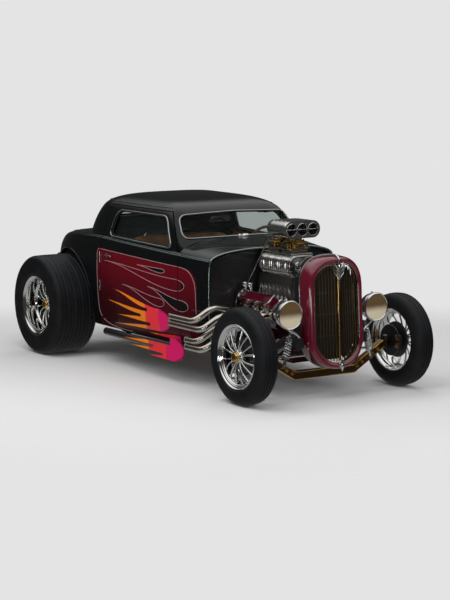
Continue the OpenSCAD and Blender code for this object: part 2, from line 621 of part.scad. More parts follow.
// The boss at the axle's end that the kingpin goes through
boss_z = 345;
boss_h = 44;
axle_mid_z = 175;
axle_depth = 62;
axle_t = 48;
axle_kink_y = 270;
module front_axle() {
    y1 = axle_kink_y;
    y2 = kingpin_y - 42;
    z2 = front_tyre_r - 22;
    h = axle_depth / 2;
    b = boss_h / 2;
    yb = kingpin_y - 10;
    ye = kingpin_y - 28;
    holes = [for (i = [0:4]) let (t = 0.12 + 0.17 * i) [lerp(y1, y2, t), lerp(axle_mid_z, z2, t)]];
    color(bronze) translate([front_axle_x - axle_t / 2, 0, 0]) rotate([90, 0, 90]) difference() {
        union() {
            linear_extrude(axle_t) polygon([[-y2, z2 + h], [-y1, axle_mid_z + h], [y1, axle_mid_z + h], [y2, z2 + h],
                [ye, boss_z + b], [yb, boss_z + b], [yb, boss_z - b], [ye, boss_z - b], [y1 + 12, axle_mid_z - h],
                [-y1 - 12, axle_mid_z - h], [-ye, boss_z - b], [-yb, boss_z - b], [-yb, boss_z + b], [-ye, boss_z + b]]);
            for (s = [-1, 1]) translate([s * kingpin_y, boss_z - b, axle_t / 2]) rotate([-90, 0, 0])
                cylinder(h = boss_h, r = 24);
        }
        for (p = holes) for (s = [-1, 1]) translate([s * p[0], p[1], -1]) cylinder(h = axle_t + 2, r = 15);
    }
}
hairpin_y = 400;
module front_radius_rods() {
    x = front_axle_x - 650;
    rail_face = rail_y + 650 * tan(rail_splay) + rail_w / 2 / cos(rail_splay) + 1.2;
    pivot = [x, hairpin_y - 14, 290];
    color(chrome) both_sides() {
        rod([front_axle_x - axle_t / 2 - 4, hairpin_y, 372], pivot + [20, 0, 14], 11);
        rod([front_axle_x - axle_t / 2 - 4, hairpin_y, 232], pivot + [20, 0, -14], 11);
        translate([x, rail_face, pivot[2]]) rotate([-90, 0, 0]) cylinder(h = hairpin_y + 2 - rail_face, r = 28);
    }
}
module coilover(low, high, r) {
    d = high - low;
    translate(low) rotate([0, acos(d[2] / norm(d)), atan2(d[1], d[0])]) {
        cylinder(h = norm(d), r = r * 0.45);
        translate([0, 0, norm(d) * 0.16]) cylinder(h = norm(d) * 0.66, r = r);
    }
}
module front_coilovers() {
    x = front_axle_x + 60;
    eye_y = rail_y - 60 * tan(rail_splay) + rail_w / 2 + 1.2;
    color(chrome) both_sides() {
        coilover([x, 408, 262], [x, eye_y + 16, 535], 30);
        translate([x, eye_y, 535]) rotate([-90, 0, 0]) cylinder(h = 34, r = 15);
        translate([front_axle_x + axle_t / 2 + 0.3, 408, 258]) rotate([0, 90, 0]) cylinder(h = 45, r = 13);
    }
}
module rear_axle() {
    half = rear_track / 2 - rear_hub_back - 0.3;
    color(iron) {
        translate([rear_axle_x, 0, rear_tyre_r]) rotate([90, 0, 0]) {
            translate([0, 0, -half]) cylinder(h = 2 * half, r = 40);
            translate([0, 0, -75]) cylinder(h = 150, r = 128);
        }
        // Brackets for the coil-overs and the ladder bars
        both_sides() translate([rear_axle_x - 125, 335, rear_tyre_r - 140]) cube([200, 12, 200]);
    }
}
rear_hub_back = 170;
module rear_ladder_bars() {
    color(chrome) both_sides() {
        rod([rear_axle_x + 58, 321.5, rear_tyre_r + 40], [rear_axle_x + 700, 342.5, 272], 13);
        rod([rear_axle_x + 58, 321.5, rear_tyre_r - 70], [rear_axle_x + 700, 342.5, 252], 13);
    }
}
module rear_coilovers() {
    top = [rear_axle_x - 145, 300, 530];
    rail_face = rail_y + (front_axle_x - top[0]) * tan(rail_splay) - rail_w / 2 - 1;
    color(chrome) both_sides() {
        coilover([rear_axle_x - 105, 290, rear_tyre_r - 110], top, 38);
        translate([top[0], 290, top[2]]) rotate([-90, 0, 0]) cylinder(h = rail_face - 290, r = 14);
        translate([rear_axle_x - 105, 280, rear_tyre_r - 110]) rotate([-90, 0, 0]) cylinder(h = 54.6, r = 14);
    }
}
module driveshaft() {
    color(iron) rod([rear_axle_x + 132, 0, rear_tyre_r], [engine_x - head_length / 2 - 642, 0, 372], 38);
}

// ---- Engine ----

bank_tilt = 42;
head_y = 205;
head_z = crank_z + 215;
module engine_block() {
    color(candy_red) {
        translate([engine_x - head_length / 2, 0, 0]) rotate([90, 0, 90]) linear_extrude(head_length)
            polygon([[-95, crank_z - 60], [-150, crank_z - 10], [-150, crank_z + 60], [-300, crank_z + 165],
                     [-300, crank_z + 230], [-215, crank_z + 305], [-120, crank_z + 240], [120, crank_z + 240],
                     [215, crank_z + 305], [300, crank_z + 230], [300, crank_z + 165], [150, crank_z + 60],
                     [150, crank_z - 10], [95, crank_z - 60]]);
        // Engine mounts on the frame's rails
        both_sides() translate([engine_x + 20, 0, 0]) rotate([90, 0, 90]) linear_extrude(60)
            polygon([[145, crank_z + 40], [145, crank_z - 8], [300, floor_z - floor_t], [335, floor_z - floor_t],
                     [335, floor_z - floor_t + 22], [310, floor_z - floor_t + 26]]);
        translate([engine_x - head_length / 2 + 20, -92, crank_z - 190]) cube([head_length - 60, 184, 131]);
    }
}
module valve_covers() {
    tilt = atan2(75, 85);
    color(candy_red) both_sides() translate([engine_x, 257.5, crank_z + 267.5]) rotate([-tilt, 0, 0])
        translate([-head_length / 2 + 10, -58, 0.3]) cube([head_length - 20, 116, 80]);
}
blower_base_z = crank_z + 470;
module intake_manifold() {
    color(chrome) translate([engine_x - head_length / 2 + 20, 0, 0]) rotate([90, 0, 90]) linear_extrude(head_length - 40)
        polygon([[-118, crank_z + 241], [118, crank_z + 241], [130, crank_z + 400], [110, blower_base_z - 0.3],
                 [-110, blower_base_z - 0.3], [-130, crank_z + 400]]);
}
blower_h = 178;
module blower() {
    color(chrome) translate([engine_x - 205, 0, blower_base_z]) rotate([90, 0, 90]) linear_extrude(410)
        polygon([[-112, 0], [112, 0], [138, 40], [138, 120], [100, blower_h], [-100, blower_h], [-138, 120], [-138, 40]]);
}
drive_x = engine_x + head_length / 2 + 45;
module blower_drive() {
    color(iron) {
        translate([drive_x, 0, blower_base_z + 85]) rotate([0, 90, 0]) cylinder(h = 72, r = 78);
        translate([drive_x, 0, crank_z]) rotate([0, 90, 0]) cylinder(h = 72, r = 72);
        translate([drive_x - 44.7, 0, crank_z]) rotate([0, 90, 0]) cylinder(h = 45, r = 30);
        translate([drive_x - 74.7, 0, blower_base_z + 85]) rotate([0, 90, 0]) cylinder(h = 75, r = 30);
        for (s = [-1, 1]) rotate([90, 0, 90]) translate([0, 0, drive_x + 4]) linear_extrude(64)
            polygon([[s * 77, blower_base_z + 85], [s * 85, blower_base_z + 85], [s * 79, crank_z], [s * 71, crank_z]]);
    }
}
carb_h = 117;
carb_z = blower_base_z + blower_h;
module carburettors() {
    color(brass) for (x = [engine_x - 85, engine_x + 85])
        translate([x - 68, -100, carb_z + 0.3]) cube([136, 200, carb_h]);
}
scoop_z = carb_z + carb_h + 0.6;
scoop_r = 66;
scoop_front_x = engine_x + 190;
scoop_length = 275;
module air_scoop() {
    z = scoop_z + scoop_r;
    color(chrome) difference() {
        translate([scoop_front_x - scoop_length, 0, z]) rotate([90, 0, 90]) {
            linear_extrude(scoop_length) hull() for (s = [-1, 1]) translate([s * 100, 0]) circle(r = scoop_r);
        }
        for (y = [-100, 0, 100]) translate([scoop_front_x - 150, y, z]) rotate([0, 90, 0]) cylinder(h = 151, r = 45);
    }
}
// Header tubes on the left: columns are port place along the head, elbow, end and height
HEADERS = [
    [-0.40, 905, 560, 536],
    [-0.15, 1010, 560, 482],
    [0.15, 950, 790, 384],
    [0.40, 1030, 790, 330]
];
header_y = 735;
module headers_left() {
    port_z = crank_z + 196;
    color(chrome) for (h = HEADERS) {
        x = engine_x + h[0] * head_length;
        sweep(rounded_path([[x, 300.3, port_z], [x, 385, port_z], [h[1] + 60, header_y - 130, h[3] + 105],
            [h[1], header_y, h[3]], [h[2], header_y, h[3]]], 48), header_r);
    }
}
module transmission() {
    color(iron) {
        translate([engine_x - head_length / 2 - 150.5, 0, crank_z]) rotate([0, 90, 0]) cylinder(h = 150, r1 = 110, r2 = 175);
        translate([engine_x - head_length / 2 - 640, -95, crank_z - 110]) cube([490, 190, 200]);
    }
}
side_pipe_y = 655;
side_pipe_z = 262;
side_pipe_r = 30;
module side_pipes() {
    color(black) both_sides() {
        translate([door_rear_x + 45, side_pipe_y, side_pipe_z]) rotate([0, 90, 0]) cylinder(h = 1130, r = side_pipe_r);
        for (x = [-400, 400]) let (face = rail_y + (front_axle_x - x) * tan(rail_splay) + rail_w / 2 + 0.6)
            translate([x, face, side_pipe_z]) rotate([-90, 0, 0]) cylinder(h = side_pipe_y - 5 - face, r = 8);
    }
}
// Sheet-metal flame panels hung from the sills
skirt_y = 700;
module flame_skirts() {
    tab_y = side_pipe_y + side_pipe_r + 0.3;
    color("#ff2a5a") both_sides() {
        translate([0, skirt_y + 4, 0]) rotate([90, 0, 0]) linear_extrude(4)
            polygon([[716, 322], [664, 350], [590, 362], [516, 290], [330, 286], [120, 288], [-280, 272], [-60, 256],
                     [130, 248], [240, 214], [380, 172], [470, 176], [560, 222], [640, 262]]);
        for (x = [140, 440]) translate([x, tab_y, side_pipe_z - 8]) cube([24, skirt_y + 1 - tab_y, 16]);
    }
}

// ---- Front end ----

shell_half_w = 250;
shell_top_z = 1066;
shell_low_z = 228;
shell_front_x = front_axle_x + 238;
function shell_ring(inset, back) = [for (a = [0:10:350]) let (
    top = a < 180, p = super_point(top ? (a <= 90 ? a : 180 - a) : (a <= 270 ? a - 180 : 360 - a), top ? 2.5 : 2.2),
    s = (a <= 90 || a > 270) ? 1 : -1, y = s * (shell_half_w - inset) * p[0],
    z = top ? 820 + (shell_top_z - 820 - inset) * p[1] : 470 - (470 - shell_low_z - inset) * p[1],
    lean = 55 * (z - shell_low_z) / (shell_top_z - shell_low_z), vee = 0.16 * abs(y))
    [shell_front_x - back - lean - vee * clamp(1 - back / shell_depth, 0, 1), y, z]];
shell_depth = 165;
module grille_shell() {
    color(candy_red) shell([shell_ring(46, 16), shell_ring(34, 2), shell_ring(20, 0), shell_ring(8, 14),
        shell_ring(0, 45), shell_ring(-3, 100), shell_ring(-3, shell_depth)], 5, wrap = true);
}
// Bars stand upright here and lean back with the shell
grille_lean = atan2(55, shell_top_z - shell_low_z);
bar_step = 25;
module grille_bars() {
    color(bronze) translate([shell_front_x, 0, shell_low_z]) rotate([0, -grille_lean, 0])
        translate([-shell_front_x, 0, -shell_low_z]) {
            for (i = [1:7]) for (s = [-1, 1]) {
                y = s * i * bar_step;
                top = 818 + (shell_top_z - 820 - 58) * pow(1 - pow(abs(y) / 192, 2.5), 0.4);
                low = 472 - (470 - shell_low_z - 58) * pow(1 - pow(abs(y) / 192, 2.2), 0.4545);
                translate([shell_front_x - 32 - 0.16 * abs(y), y - 4, low]) cube([8, 8, top - low]);
            }
            translate([shell_front_x - 34, -8, 292]) cube([14, 16, 712]);
            for (z = [480, 640, 800]) translate([shell_front_x, 0, z]) {
                linear_extrude(10) polygon([[-64, -200], [-36, 0], [-64, 200], [-58, 200], [-30, 0], [-58, -200]]);
                for (s = [-1, 1]) translate([-62, s * 205 - 9, 0]) cube([12.5, 18, 10]);
            }
        }
}
module radiator() {
    color(iron) {
        translate([front_axle_x - 62, -225, 465.4]) cube([80, 450, 445]);
        translate([front_axle_x - 62, -150, 909]) cube([80, 300, 80]);
        both_sides() translate([front_axle_x + 2, 220, 600]) cube([80, shell_half_w - 4.3 - 220, 40]);
    }
}
lamp_y = 400;
lamp_z = 655;
lamp_x = front_axle_x + 78;
lamp_r = 108;
module headlights() {
    color(chrome) both_sides() {
        translate([lamp_x, lamp_y, lamp_z]) rotate([0, -90, 0]) rotate_extrude()
            polygon([[0, -45], [lamp_r - 8, -45], [lamp_r - 8, -60], [lamp_r, -60], [lamp_r, -35], [lamp_r - 10, 10],
                     [lamp_r - 42, 62], [lamp_r - 78, 84], [0, 90]]);
        rod([lamp_x + 8, lamp_y - 3, lamp_z - lamp_r + 18], [front_axle_x + 105, rail_y + 2, 482], 11);
        translate([front_axle_x + 105, rail_y, 470.3]) cylinder(h = 12, r = 13);
    }
}
module headlight_lenses() {
    color("#e8e4d0", 0.5) both_sides() translate([lamp_x, lamp_y, lamp_z]) rotate([0, 90, 0])
        translate([0, 0, 45.4]) cylinder(h = 9, r = lamp_r - 9);
}
module taillights() {
    color("#a01010") both_sides() translate(tail_lamp_at + [16, 0, 0]) rotate([0, -90, 0])
        cylinder(h = 34, r = tail_lamp_r);
}
module tow_eye() {
    color(iron) translate([rear_axle_x - 560, 0, 340]) rotate([90, 0, 0]) translate([0, 0, -8]) difference() {
        union() {
            linear_extrude(16)
                polygon([[0, -34], [150, -34], [250, 100], [250, 159.7], [210, 159.7], [130, 34], [0, 34]]);
            cylinder(h = 16, r = 34);
        }
        translate([0, 0, -1]) cylinder(h = 18, r = 16);
    }
}

// ---- Steering ----

tie_z = 290;
module knuckle_left() {
    y = kingpin_y;
    low = boss_z - boss_h / 2 - 0.3;
    high = boss_z + boss_h / 2 + 0.3;
    arm_z = tie_z + 13;
    color(iron) {
        translate([front_axle_x, y, arm_z]) cylinder(h = low - arm_z, r = 22);
        translate([front_axle_x, y, high]) cylinder(h = 34, r = 22);
        for (z = [[arm_z, low - arm_z], [high, 34]]) translate([front_axle_x - 20, y, z[0]]) cube([40, 36, z[1]]);
        translate([front_axle_x - 20, y + 28, arm_z]) cube([40, 12, high + 34 - arm_z]);
        translate([front_axle_x, y + 32, front_tyre_r]) rotate([-90, 0, 0]) cylinder(h = 57.7, r = 24);
        translate([front_axle_x - arm_length, y - 14, arm_z]) cube([arm_length, 28, 15]);
        translate([front_axle_x - arm_length, y, arm_z]) cylinder(h = 15, r = 20);
        // Brake caliper's bracket
        translate([front_axle_x + 60, y + 32, front_tyre_r - 40]) cube([66, 32, 80]);
        translate([front_axle_x, y + 30, front_tyre_r - 12]) cube([62, 10, 24]);
    }
}
module tie_rod() {
    x = front_axle_x - arm_length;
    color(chrome) {
        translate([x, -kingpin_y, tie_z]) rotate([-90, 0, 0]) cylinder(h = 2 * kingpin_y, r = 11);
        both_sides() translate([x, kingpin_y, tie_z - 13]) cylinder(h = 25.7, r = 17);
    }
}
pitman_y = 215;
module pitman_arm() {
    color(iron) {
        translate([front_axle_x - arm_length - 16, pitman_y - 14, tie_z + 11.5]) cube([arm_length + 32, 28, 12]);
        translate([front_axle_x, pitman_y, tie_z + 11.5]) cylinder(h = 404.6 - tie_z - 11.5, r = 17);
    }
}

// ---- Wheels ----

front_wheel_w = front_tyre_w - 16;
rear_wheel_w = rear_tyre_w - 30;
bead_w = 12;
module wheel(rim_r, width, spokes, dish) {
    // The wheel's axis is Y and its outer face is +Y
    half = width / 2;
    barrel = rim_r - 26;
    rotate([-90, 0, 0]) {
        rotate_extrude($fn = 72) polygon([[barrel - 6, -half + 14], [rim_r - 8, -half + 8], [rim_r, -half],
            [rim_r, -half + bead_w], [barrel, -half + 34], [barrel, half - 34], [rim_r, half - bead_w],
            [rim_r, half - 1], [rim_r - 8, half], [barrel - 6, half - 24]]);
        translate([0, 0, half - dish - 14]) {
            cylinder(h = 34, r = 62);
            for (i = [0:spokes - 1]) rotate([0, 0, i * 360 / spokes]) translate([50, -13, 4]) cube([barrel - 54, 26, 16]);
        }
        translate([0, 0, half - dish + 19]) cylinder(h = 30, r = 34);
    }
}
module tyre(r, width, rim_r, wheel_w) {
    half = width / 2;
    seat = wheel_w / 2 - bead_w / 2;
    shoulder = r - 34;
    rotate([-90, 0, 0]) rotate_extrude($fn = 96) polygon([
        [rim_r + 0.3, -seat], [rim_r + 26, -half + 6], [lerp(rim_r, r, 0.45), -half], [shoulder, -half + 8],
        [r - 8, -half + 30], [r, -half + 56], [r, half - 56], [r - 8, half - 30], [shoulder, half - 8],
        [lerp(rim_r, r, 0.45), half], [rim_r + 26, half - 6], [rim_r + 0.3, seat]]);
}
module at_front_left() { translate([front_axle_x, front_track / 2, front_tyre_r]) children(); }
module at_rear_left() { translate([rear_axle_x, rear_track / 2, rear_tyre_r]) children(); }
module front_wheel_left() {
    color(chrome) at_front_left() {
        wheel(front_rim_r, front_wheel_w, 10, 26);
        rotate([-90, 0, 0]) translate([0, 0, -24]) cylinder(h = 10, r = 140);
        rotate([-90, 0, 0]) translate([0, 0, kingpin_y + 90 - front_track / 2]) cylinder(h = 75, r = 40);
    }
}
module rear_wheel_left() {
    color(chrome) at_rear_left() {
        wheel(rear_rim_r, rear_wheel_w, 5, 120);
        rotate([-90, 0, 0]) translate([0, 0, -rear_hub_back]) cylinder(h = 250, r = 52);
    }
}

on_right() frame_rail_left();  // frame_rail_right
frame_rail_left();
crossmembers();
front_axle();
front_radius_rods();
front_coilovers();
rear_axle();
rear_ladder_bars();
rear_coilovers();
engine_block();
valve_covers();
intake_manifold();
blower();
blower_drive();
carburettors();
air_scoop();
on_right() headers_left();  // headers_right
headers_left();
transmission();
driveshaft();
cowl();
firewall();
floor_pan();
boot_floor();
roof();
rear_body();
wheel_tubs();
on_right() door_left();  // door_right
door_left();
deck_lid();
on_right() door_glass_left();  // door_glass_right
door_glass_left();
windshield_glass();
rear_glass();
dashboard();
seat_cushion();
seat_back();
steering_column();
steering_wheel();
side_pipes();
flame_skirts();
grille_shell();
grille_bars();
radiator();
headlights();
headlight_lenses();
taillights();
tow_eye();
on_right() knuckle_left();  // knuckle_right
knuckle_left();
tie_rod();
pitman_arm();
on_right() front_wheel_left();  // front_wheel_right
on_right() at_front_left() tyre(front_tyre_r, front_tyre_w, front_rim_r, front_wheel_w);  // front_tyre_right
front_wheel_left();
at_front_left() tyre(front_tyre_r, front_tyre_w, front_rim_r, front_wheel_w);  // front_tyre_left
on_right() rear_wheel_left();  // rear_wheel_right
on_right() at_rear_left() tyre(rear_tyre_r, rear_tyre_w, rear_rim_r, rear_wheel_w);  // rear_tyre_right
rear_wheel_left();
at_rear_left() tyre(rear_tyre_r, rear_tyre_w, rear_rim_r, rear_wheel_w);  // rear_tyre_left
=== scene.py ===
import math

import bmesh
import bpy
import numpy as np
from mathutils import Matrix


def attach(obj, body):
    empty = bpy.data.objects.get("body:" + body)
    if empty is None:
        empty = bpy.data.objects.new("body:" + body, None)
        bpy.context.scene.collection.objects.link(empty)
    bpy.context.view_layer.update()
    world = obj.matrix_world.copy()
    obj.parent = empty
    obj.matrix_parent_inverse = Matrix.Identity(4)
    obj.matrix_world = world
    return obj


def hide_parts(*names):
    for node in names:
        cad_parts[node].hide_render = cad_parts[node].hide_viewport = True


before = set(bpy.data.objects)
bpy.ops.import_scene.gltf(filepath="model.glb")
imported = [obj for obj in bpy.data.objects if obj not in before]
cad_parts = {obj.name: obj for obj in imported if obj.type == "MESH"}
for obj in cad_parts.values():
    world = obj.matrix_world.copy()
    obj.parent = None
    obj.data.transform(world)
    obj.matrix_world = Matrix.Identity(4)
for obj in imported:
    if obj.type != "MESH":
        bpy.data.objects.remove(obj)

bl_info = {
    "name": "Flamed coupe hot rod",
    "version": (1, 0, 0),
    "blender": (4, 5, 0),
    "location": "3D View > Sidebar > Hot rod",
    "description": "Models and finishes a chopped three-window coupe over its packed parts",
    "category": "Object",
}

# ---------------------------------------------------------------- sizes, in millimetres

FRONT_AXLE = np.array([1565.0, 725.0, 362.0])
REAR_AXLE = np.array([-1280.0, 772.5, 425.0])
FRONT_R, FRONT_W, FRONT_RIM = 362.0, 165.0, 243.0
REAR_R, REAR_W, REAR_RIM = 425.0, 400.0, 252.0
HALF_W, TAPER, SILL, BELT, DROP, ROOF = 680.0, 80.0, 300.0, 1060.0, 65.0, 1423.0
COWL_FRONT, DOOR_FRONT, DOOR_REAR, TAIL_LENGTH = 893.0, 503.0, -637.0, 1290.0
SCREEN_X, REAR_GLASS_X, GLASS_HALF, GAP = 510.0, -1133.65, 645.0, 7.0
PILLAR, LID_HALF = 72.0, 400.0
ENGINE_X, CRANK_Z, HEAD_L = 1100.0, 400.0, 470.0
BLOWER_Z, CARB_Z, SCOOP_Z = 870.0, 1048.0, 1165.6
SHELL_FRONT, SHELL_LOW, SHELL_TOP, SHELL_HALF, SHELL_DEPTH = 1803.0, 228.0, 1066.0, 250.0, 165.0
LAMP = np.array([1643.0, 400.0, 655.0])
KINGPIN_Y = 600.0

SIDE = np.array([
    [0.000, 0.125, 45, 0.915], [0.132, 0.224, 20, 0.965], [0.316, 0.355, 6, 0.995],
    [0.526, 0.500, 0, 1.000], [0.724, 0.645, 0, 0.985], [0.868, 0.776, 4, 0.945],
    [0.955, 0.875, 11, 0.870], [0.978, 0.941, 18, 0.760], [0.989, 0.984, 25, 0.620],
    [0.996, 1.007, 30, 0.490], [1.000, 1.016, 35, 0.385]])
GLASSHOUSE = np.array([
    [0.000, 1.000, 0, 0, 0], [0.138, 0.983, 22, 12, 0], [0.386, 0.935, 95, 49, 0],
    [0.606, 0.878, 165, 104, 0], [0.744, 0.822, 225, 164, 0], [0.848, 0.741, 305, 254, 40],
    [0.923, 0.620, 420, 374, 110], [0.970, 0.450, 570, 524, 200], [0.992, 0.233, 740, 664, 290]])

# ---------------------------------------------------------------- surfaces from arrays


def lerp(a, b, t):
    return a + (np.asarray(b) - a) * t


def unit(v):
    v = np.asarray(v, float)
    return v / np.maximum(np.linalg.norm(v, axis=-1, keepdims=True), 1e-9)


def circle(n, start=0.0):
    """n angles round a full turn, in radians, without the repeated last one."""
    return start + np.arange(n) * 2 * math.pi / n


def lattice(rows, cols, wrap_rows=False, wrap_cols=False):
    """Quads between the points of a rows by cols grid."""
    i = np.arange(rows if wrap_rows else rows - 1)[:, None]
    j = np.arange(cols if wrap_cols else cols - 1)[None, :]
    i2, j2 = (i + 1) % rows, (j + 1) % cols
    quads = np.stack([i * cols + j + 0 * i, i * cols + j2, i2 * cols + j2, i2 * cols + j], -1)
    return quads.reshape(-1, 4)


def sheet(grid, wrap_rows=False, wrap_cols=False):
    """Points and faces of an open grid of points."""
    rows, cols = grid.shape[:2]
    return grid.reshape(-1, 3), lattice(rows, cols, wrap_rows, wrap_cols).tolist()


def loft(rings):
    """A closed body through a stack of rings, each end closed by a fan to its middle."""
    rings = np.asarray(rings, float)
    n, m = rings.shape[:2]
    points = np.concatenate([rings.reshape(-1, 3), rings[0].mean(0)[None], rings[-1].mean(0)[None]])
    j = np.arange(m)
    first = np.stack([(j + 1) % m, j, 0 * j + n * m], -1)
    last = np.stack([(n - 1) * m + j, (n - 1) * m + (j + 1) % m, 0 * j + n * m + 1], -1)
    return points, lattice(n, m, False, True).tolist() + first.tolist() + last.tolist()


def frames(path):
    """Two unit vectors square to a path at each of its points, carried along without twist."""
    path = np.asarray(path, float)
    along = unit(np.gradient(path, axis=0))
    side = np.cross(along[0], [0, 0, 1.0])
    if np.linalg.norm(side) < 0.1:
        side = np.cross(along[0], [0, 1.0, 0])
    sides = []
    for d in along:
        side = side - d * side.dot(d)
        side = side / max(np.linalg.norm(side), 1e-9)
        sides.append(side)
    sides = np.array(sides)
    return sides, np.cross(sides, along)


def tube(path, r, sides=16, closed=False):
    """Circles of radius r carried along a path: path + r (cos a side + sin a up)."""
    path = np.asarray(path, float)
    r = np.broadcast_to(np.asarray(r, float), (len(path),))[:, None, None]
    side, up = frames(path)
    a = circle(sides)[None, :, None]
    rings = path[:, None] + r * (np.cos(a) * side[:, None] + np.sin(a) * up[:, None])
    return sheet(rings, True, True) if closed else loft(rings)


def strip(path, normal, width, height, closed=False):
    """A half-round bead along a path: the profile is a half ellipse standing on the given normals."""
    path = np.asarray(path, float)
    normal = np.broadcast_to(np.asarray(normal, float), path.shape)
    across = unit(np.cross(unit(np.gradient(path, axis=0)), normal))
    a = np.concatenate([np.linspace(0, math.pi, 9), [1.5 * math.pi]])[None, :, None]
    depth = np.where(np.sin(a) < 0, -0.35, np.sin(a)) * height
    rings = path[:, None] + np.cos(a) * width / 2 * across[:, None] + depth * normal[:, None]
    return sheet(rings, True, True) if closed else loft(rings)


def lathe(profile, origin, axis, steps=64, spin=None):
    """A profile of (radius, place along the axis) turned about an axis; spin changes the radii per angle."""
    profile = np.asarray(profile, float)
    axis = unit(axis)
    u = unit(np.cross(axis, [0, 0, 1.0] if abs(axis[2]) < 0.9 else [1.0, 0, 0]))
    v = np.cross(axis, u)
    a = circle(steps)
    radius = profile[:, 0][None, :] * np.ones((steps, 1))
    if spin is not None:
        radius = spin(a[:, None], profile[:, 1][None, :], radius)
    ring = np.cos(a)[:, None, None] * u + np.sin(a)[:, None, None] * v
    grid = origin + radius[..., None] * ring + profile[:, 1][None, :, None] * axis
    closed = profile[0, 0] > 1e-6 or profile[-1, 0] > 1e-6
    return sheet(grid, True, closed)


def rounded(corners, r, steps=6):
    """A closed outline with each corner rounded by a quadratic curve that starts r away from it."""
    corners = np.asarray(corners, float)
    before, after = np.roll(corners, 1, 0), np.roll(corners, -1, 0)
    reach = np.minimum(r, 0.49 * np.minimum(np.linalg.norm(before - corners, axis=1),
                                            np.linalg.norm(after - corners, axis=1)))[:, None]
    a = corners + unit(before - corners) * reach
    b = corners + unit(after - corners) * reach
    t = np.linspace(0, 1, steps)[None, :, None]
    bend = (1 - t) ** 2 * a[:, None] + 2 * t * (1 - t) * corners[:, None] + t ** 2 * b[:, None]
    return bend.reshape(-1, corners.shape[1])


def bent(corners, r, steps=10):
    """An open path with its inner corners rounded by quadratic curves that start r away."""
    corners = np.asarray(corners, float)
    t = np.linspace(0, 1, steps)[:, None]
    parts = [corners[:1]]
    for before, p, after in zip(corners[:-2], corners[1:-1], corners[2:]):
        reach = min(r, 0.49 * np.linalg.norm(before - p), 0.49 * np.linalg.norm(after - p))
        a, b = p + unit(before - p) * reach, p + unit(after - p) * reach
        parts.append((1 - t) ** 2 * a + 2 * t * (1 - t) * p + t ** 2 * b)
    return np.concatenate(parts + [corners[-1:]])


def spline(points, n):
    """n points along a smooth curve through the given ones (Catmull-Rom)."""
    points = np.asarray(points, float)
    s = np.linspace(0, len(points) - 1, n)
    return np.stack([smooth_row(points, s, c) for c in range(points.shape[1])], -1)


def resample(path, n, closed=False):
    """n points spaced evenly by length along a path."""
    path = np.asarray(path, float)
    if closed:
        path = np.concatenate([path, path[:1]])
    length = np.concatenate([[0], np.cumsum(np.linalg.norm(np.diff(path, axis=0), axis=1))])
    s = np.linspace(0, length[-1], n + 1)[:-1] if closed else np.linspace(0, length[-1], n)
    return np.stack([np.interp(s, length, path[:, c]) for c in range(path.shape[1])], -1)


def slab(outline, low, high, bevel=2.0, taper=0.0):
    """A plate: an outline raised from low to high, drawn in by the bevel at both faces and by taper at the top."""
    outline = np.asarray(outline, float)
    middle = outline.mean(0)
    half = np.abs(outline - middle).max(0)
    rings = []
    for draw, z in ((bevel, low), (0.3 * bevel, low + 0.3 * bevel), (0, low + bevel), (taper, high - bevel),
                    (taper + 0.3 * bevel, high - 0.3 * bevel), (taper + bevel, high)):
        flat = middle + (outline - middle) * np.maximum(1 - draw / half, 0.02)
        rings.append(np.column_stack([flat, np.full(len(flat), z)]))
    return loft(rings)


def rectangle(w, h, r=4.0):
    """A rounded rectangle outline about the origin."""
    return rounded([[-w / 2, -h / 2], [w / 2, -h / 2], [w / 2, h / 2], [-w / 2, h / 2]], r, 5)


def placed(part, origin, x=(1, 0, 0), y=(0, 1, 0), z=(0, 0, 1)):
    """A part's points taken from its own axes to the given ones."""
    points, faces = part
    return np.asarray(origin, float) + points @ np.array([x, y, z], float), faces


def block(middle, size, bevel=3.0, x=(1, 0, 0), y=(0, 1, 0), z=(0, 0, 1)):
    """A box with softened edges about a middle point."""
    part = slab(rectangle(size[0], size[1], bevel), -size[2] / 2, size[2] / 2, bevel)
    return placed(part, middle, x, y, z)


def hexagon(middle, axis, r=6.0, h=5.0):
    """A bolt's head: a six-sided prism with a chamfered crown."""
    spread = lambda a, z, radius: radius * (0.93 + 0.07 * np.cos(6 * a))
    return lathe([[0, 0], [r, 0], [r, h * 0.7], [r * 0.75, h], [0, h]], middle, axis, 12, spread)


def dome(middle, axis, r=6.0, h=4.0, steps=16):
    """A rounded button: a quarter ellipse turned about an axis."""
    a = np.linspace(0, math.pi / 2, 6)
    profile = np.column_stack([r * np.cos(a), h * np.sin(a)])
    profile[-1, 0] = 0
    return lathe(np.concatenate([[[0, -1.0], [r, -1.0]], profile]), middle, axis, steps)


def mirrored(part):
    """The same part on the other side of the car."""
    points, faces = part
    return points * [1, -1, 1], [f[::-1] for f in faces]


def thick(points, faces, t):
    """A closed wall behind an open skin: each point moved in by t along its normal, and the edges joined."""
    points = np.asarray(points, float)
    quads = np.array([f if len(f) == 4 else [*f, f[-1]] for f in faces])
    normal = np.cross(points[quads[:, 2]] - points[quads[:, 0]], points[quads[:, 3]] - points[quads[:, 1]])
    total = np.zeros_like(points)
    for k in range(4):
        np.add.at(total, quads[:, k], normal)
    inner = points - t * unit(total)
    edges = np.concatenate([quads[:, [k, (k + 1) % 4]] for k in range(4)])
    edges = edges[edges[:, 0] != edges[:, 1]]
    n = len(points)
    key = edges[:, 0] * n + edges[:, 1]
    rim = edges[~np.isin(key, edges[:, 1] * n + edges[:, 0])]
    wall = np.column_stack([rim[:, 1], rim[:, 0], rim[:, 0] + n, rim[:, 1] + n])
    lining = [[v + n for v in f[::-1]] for f in faces]
    return np.concatenate([points, inner]), list(faces) + lining + wall.tolist()


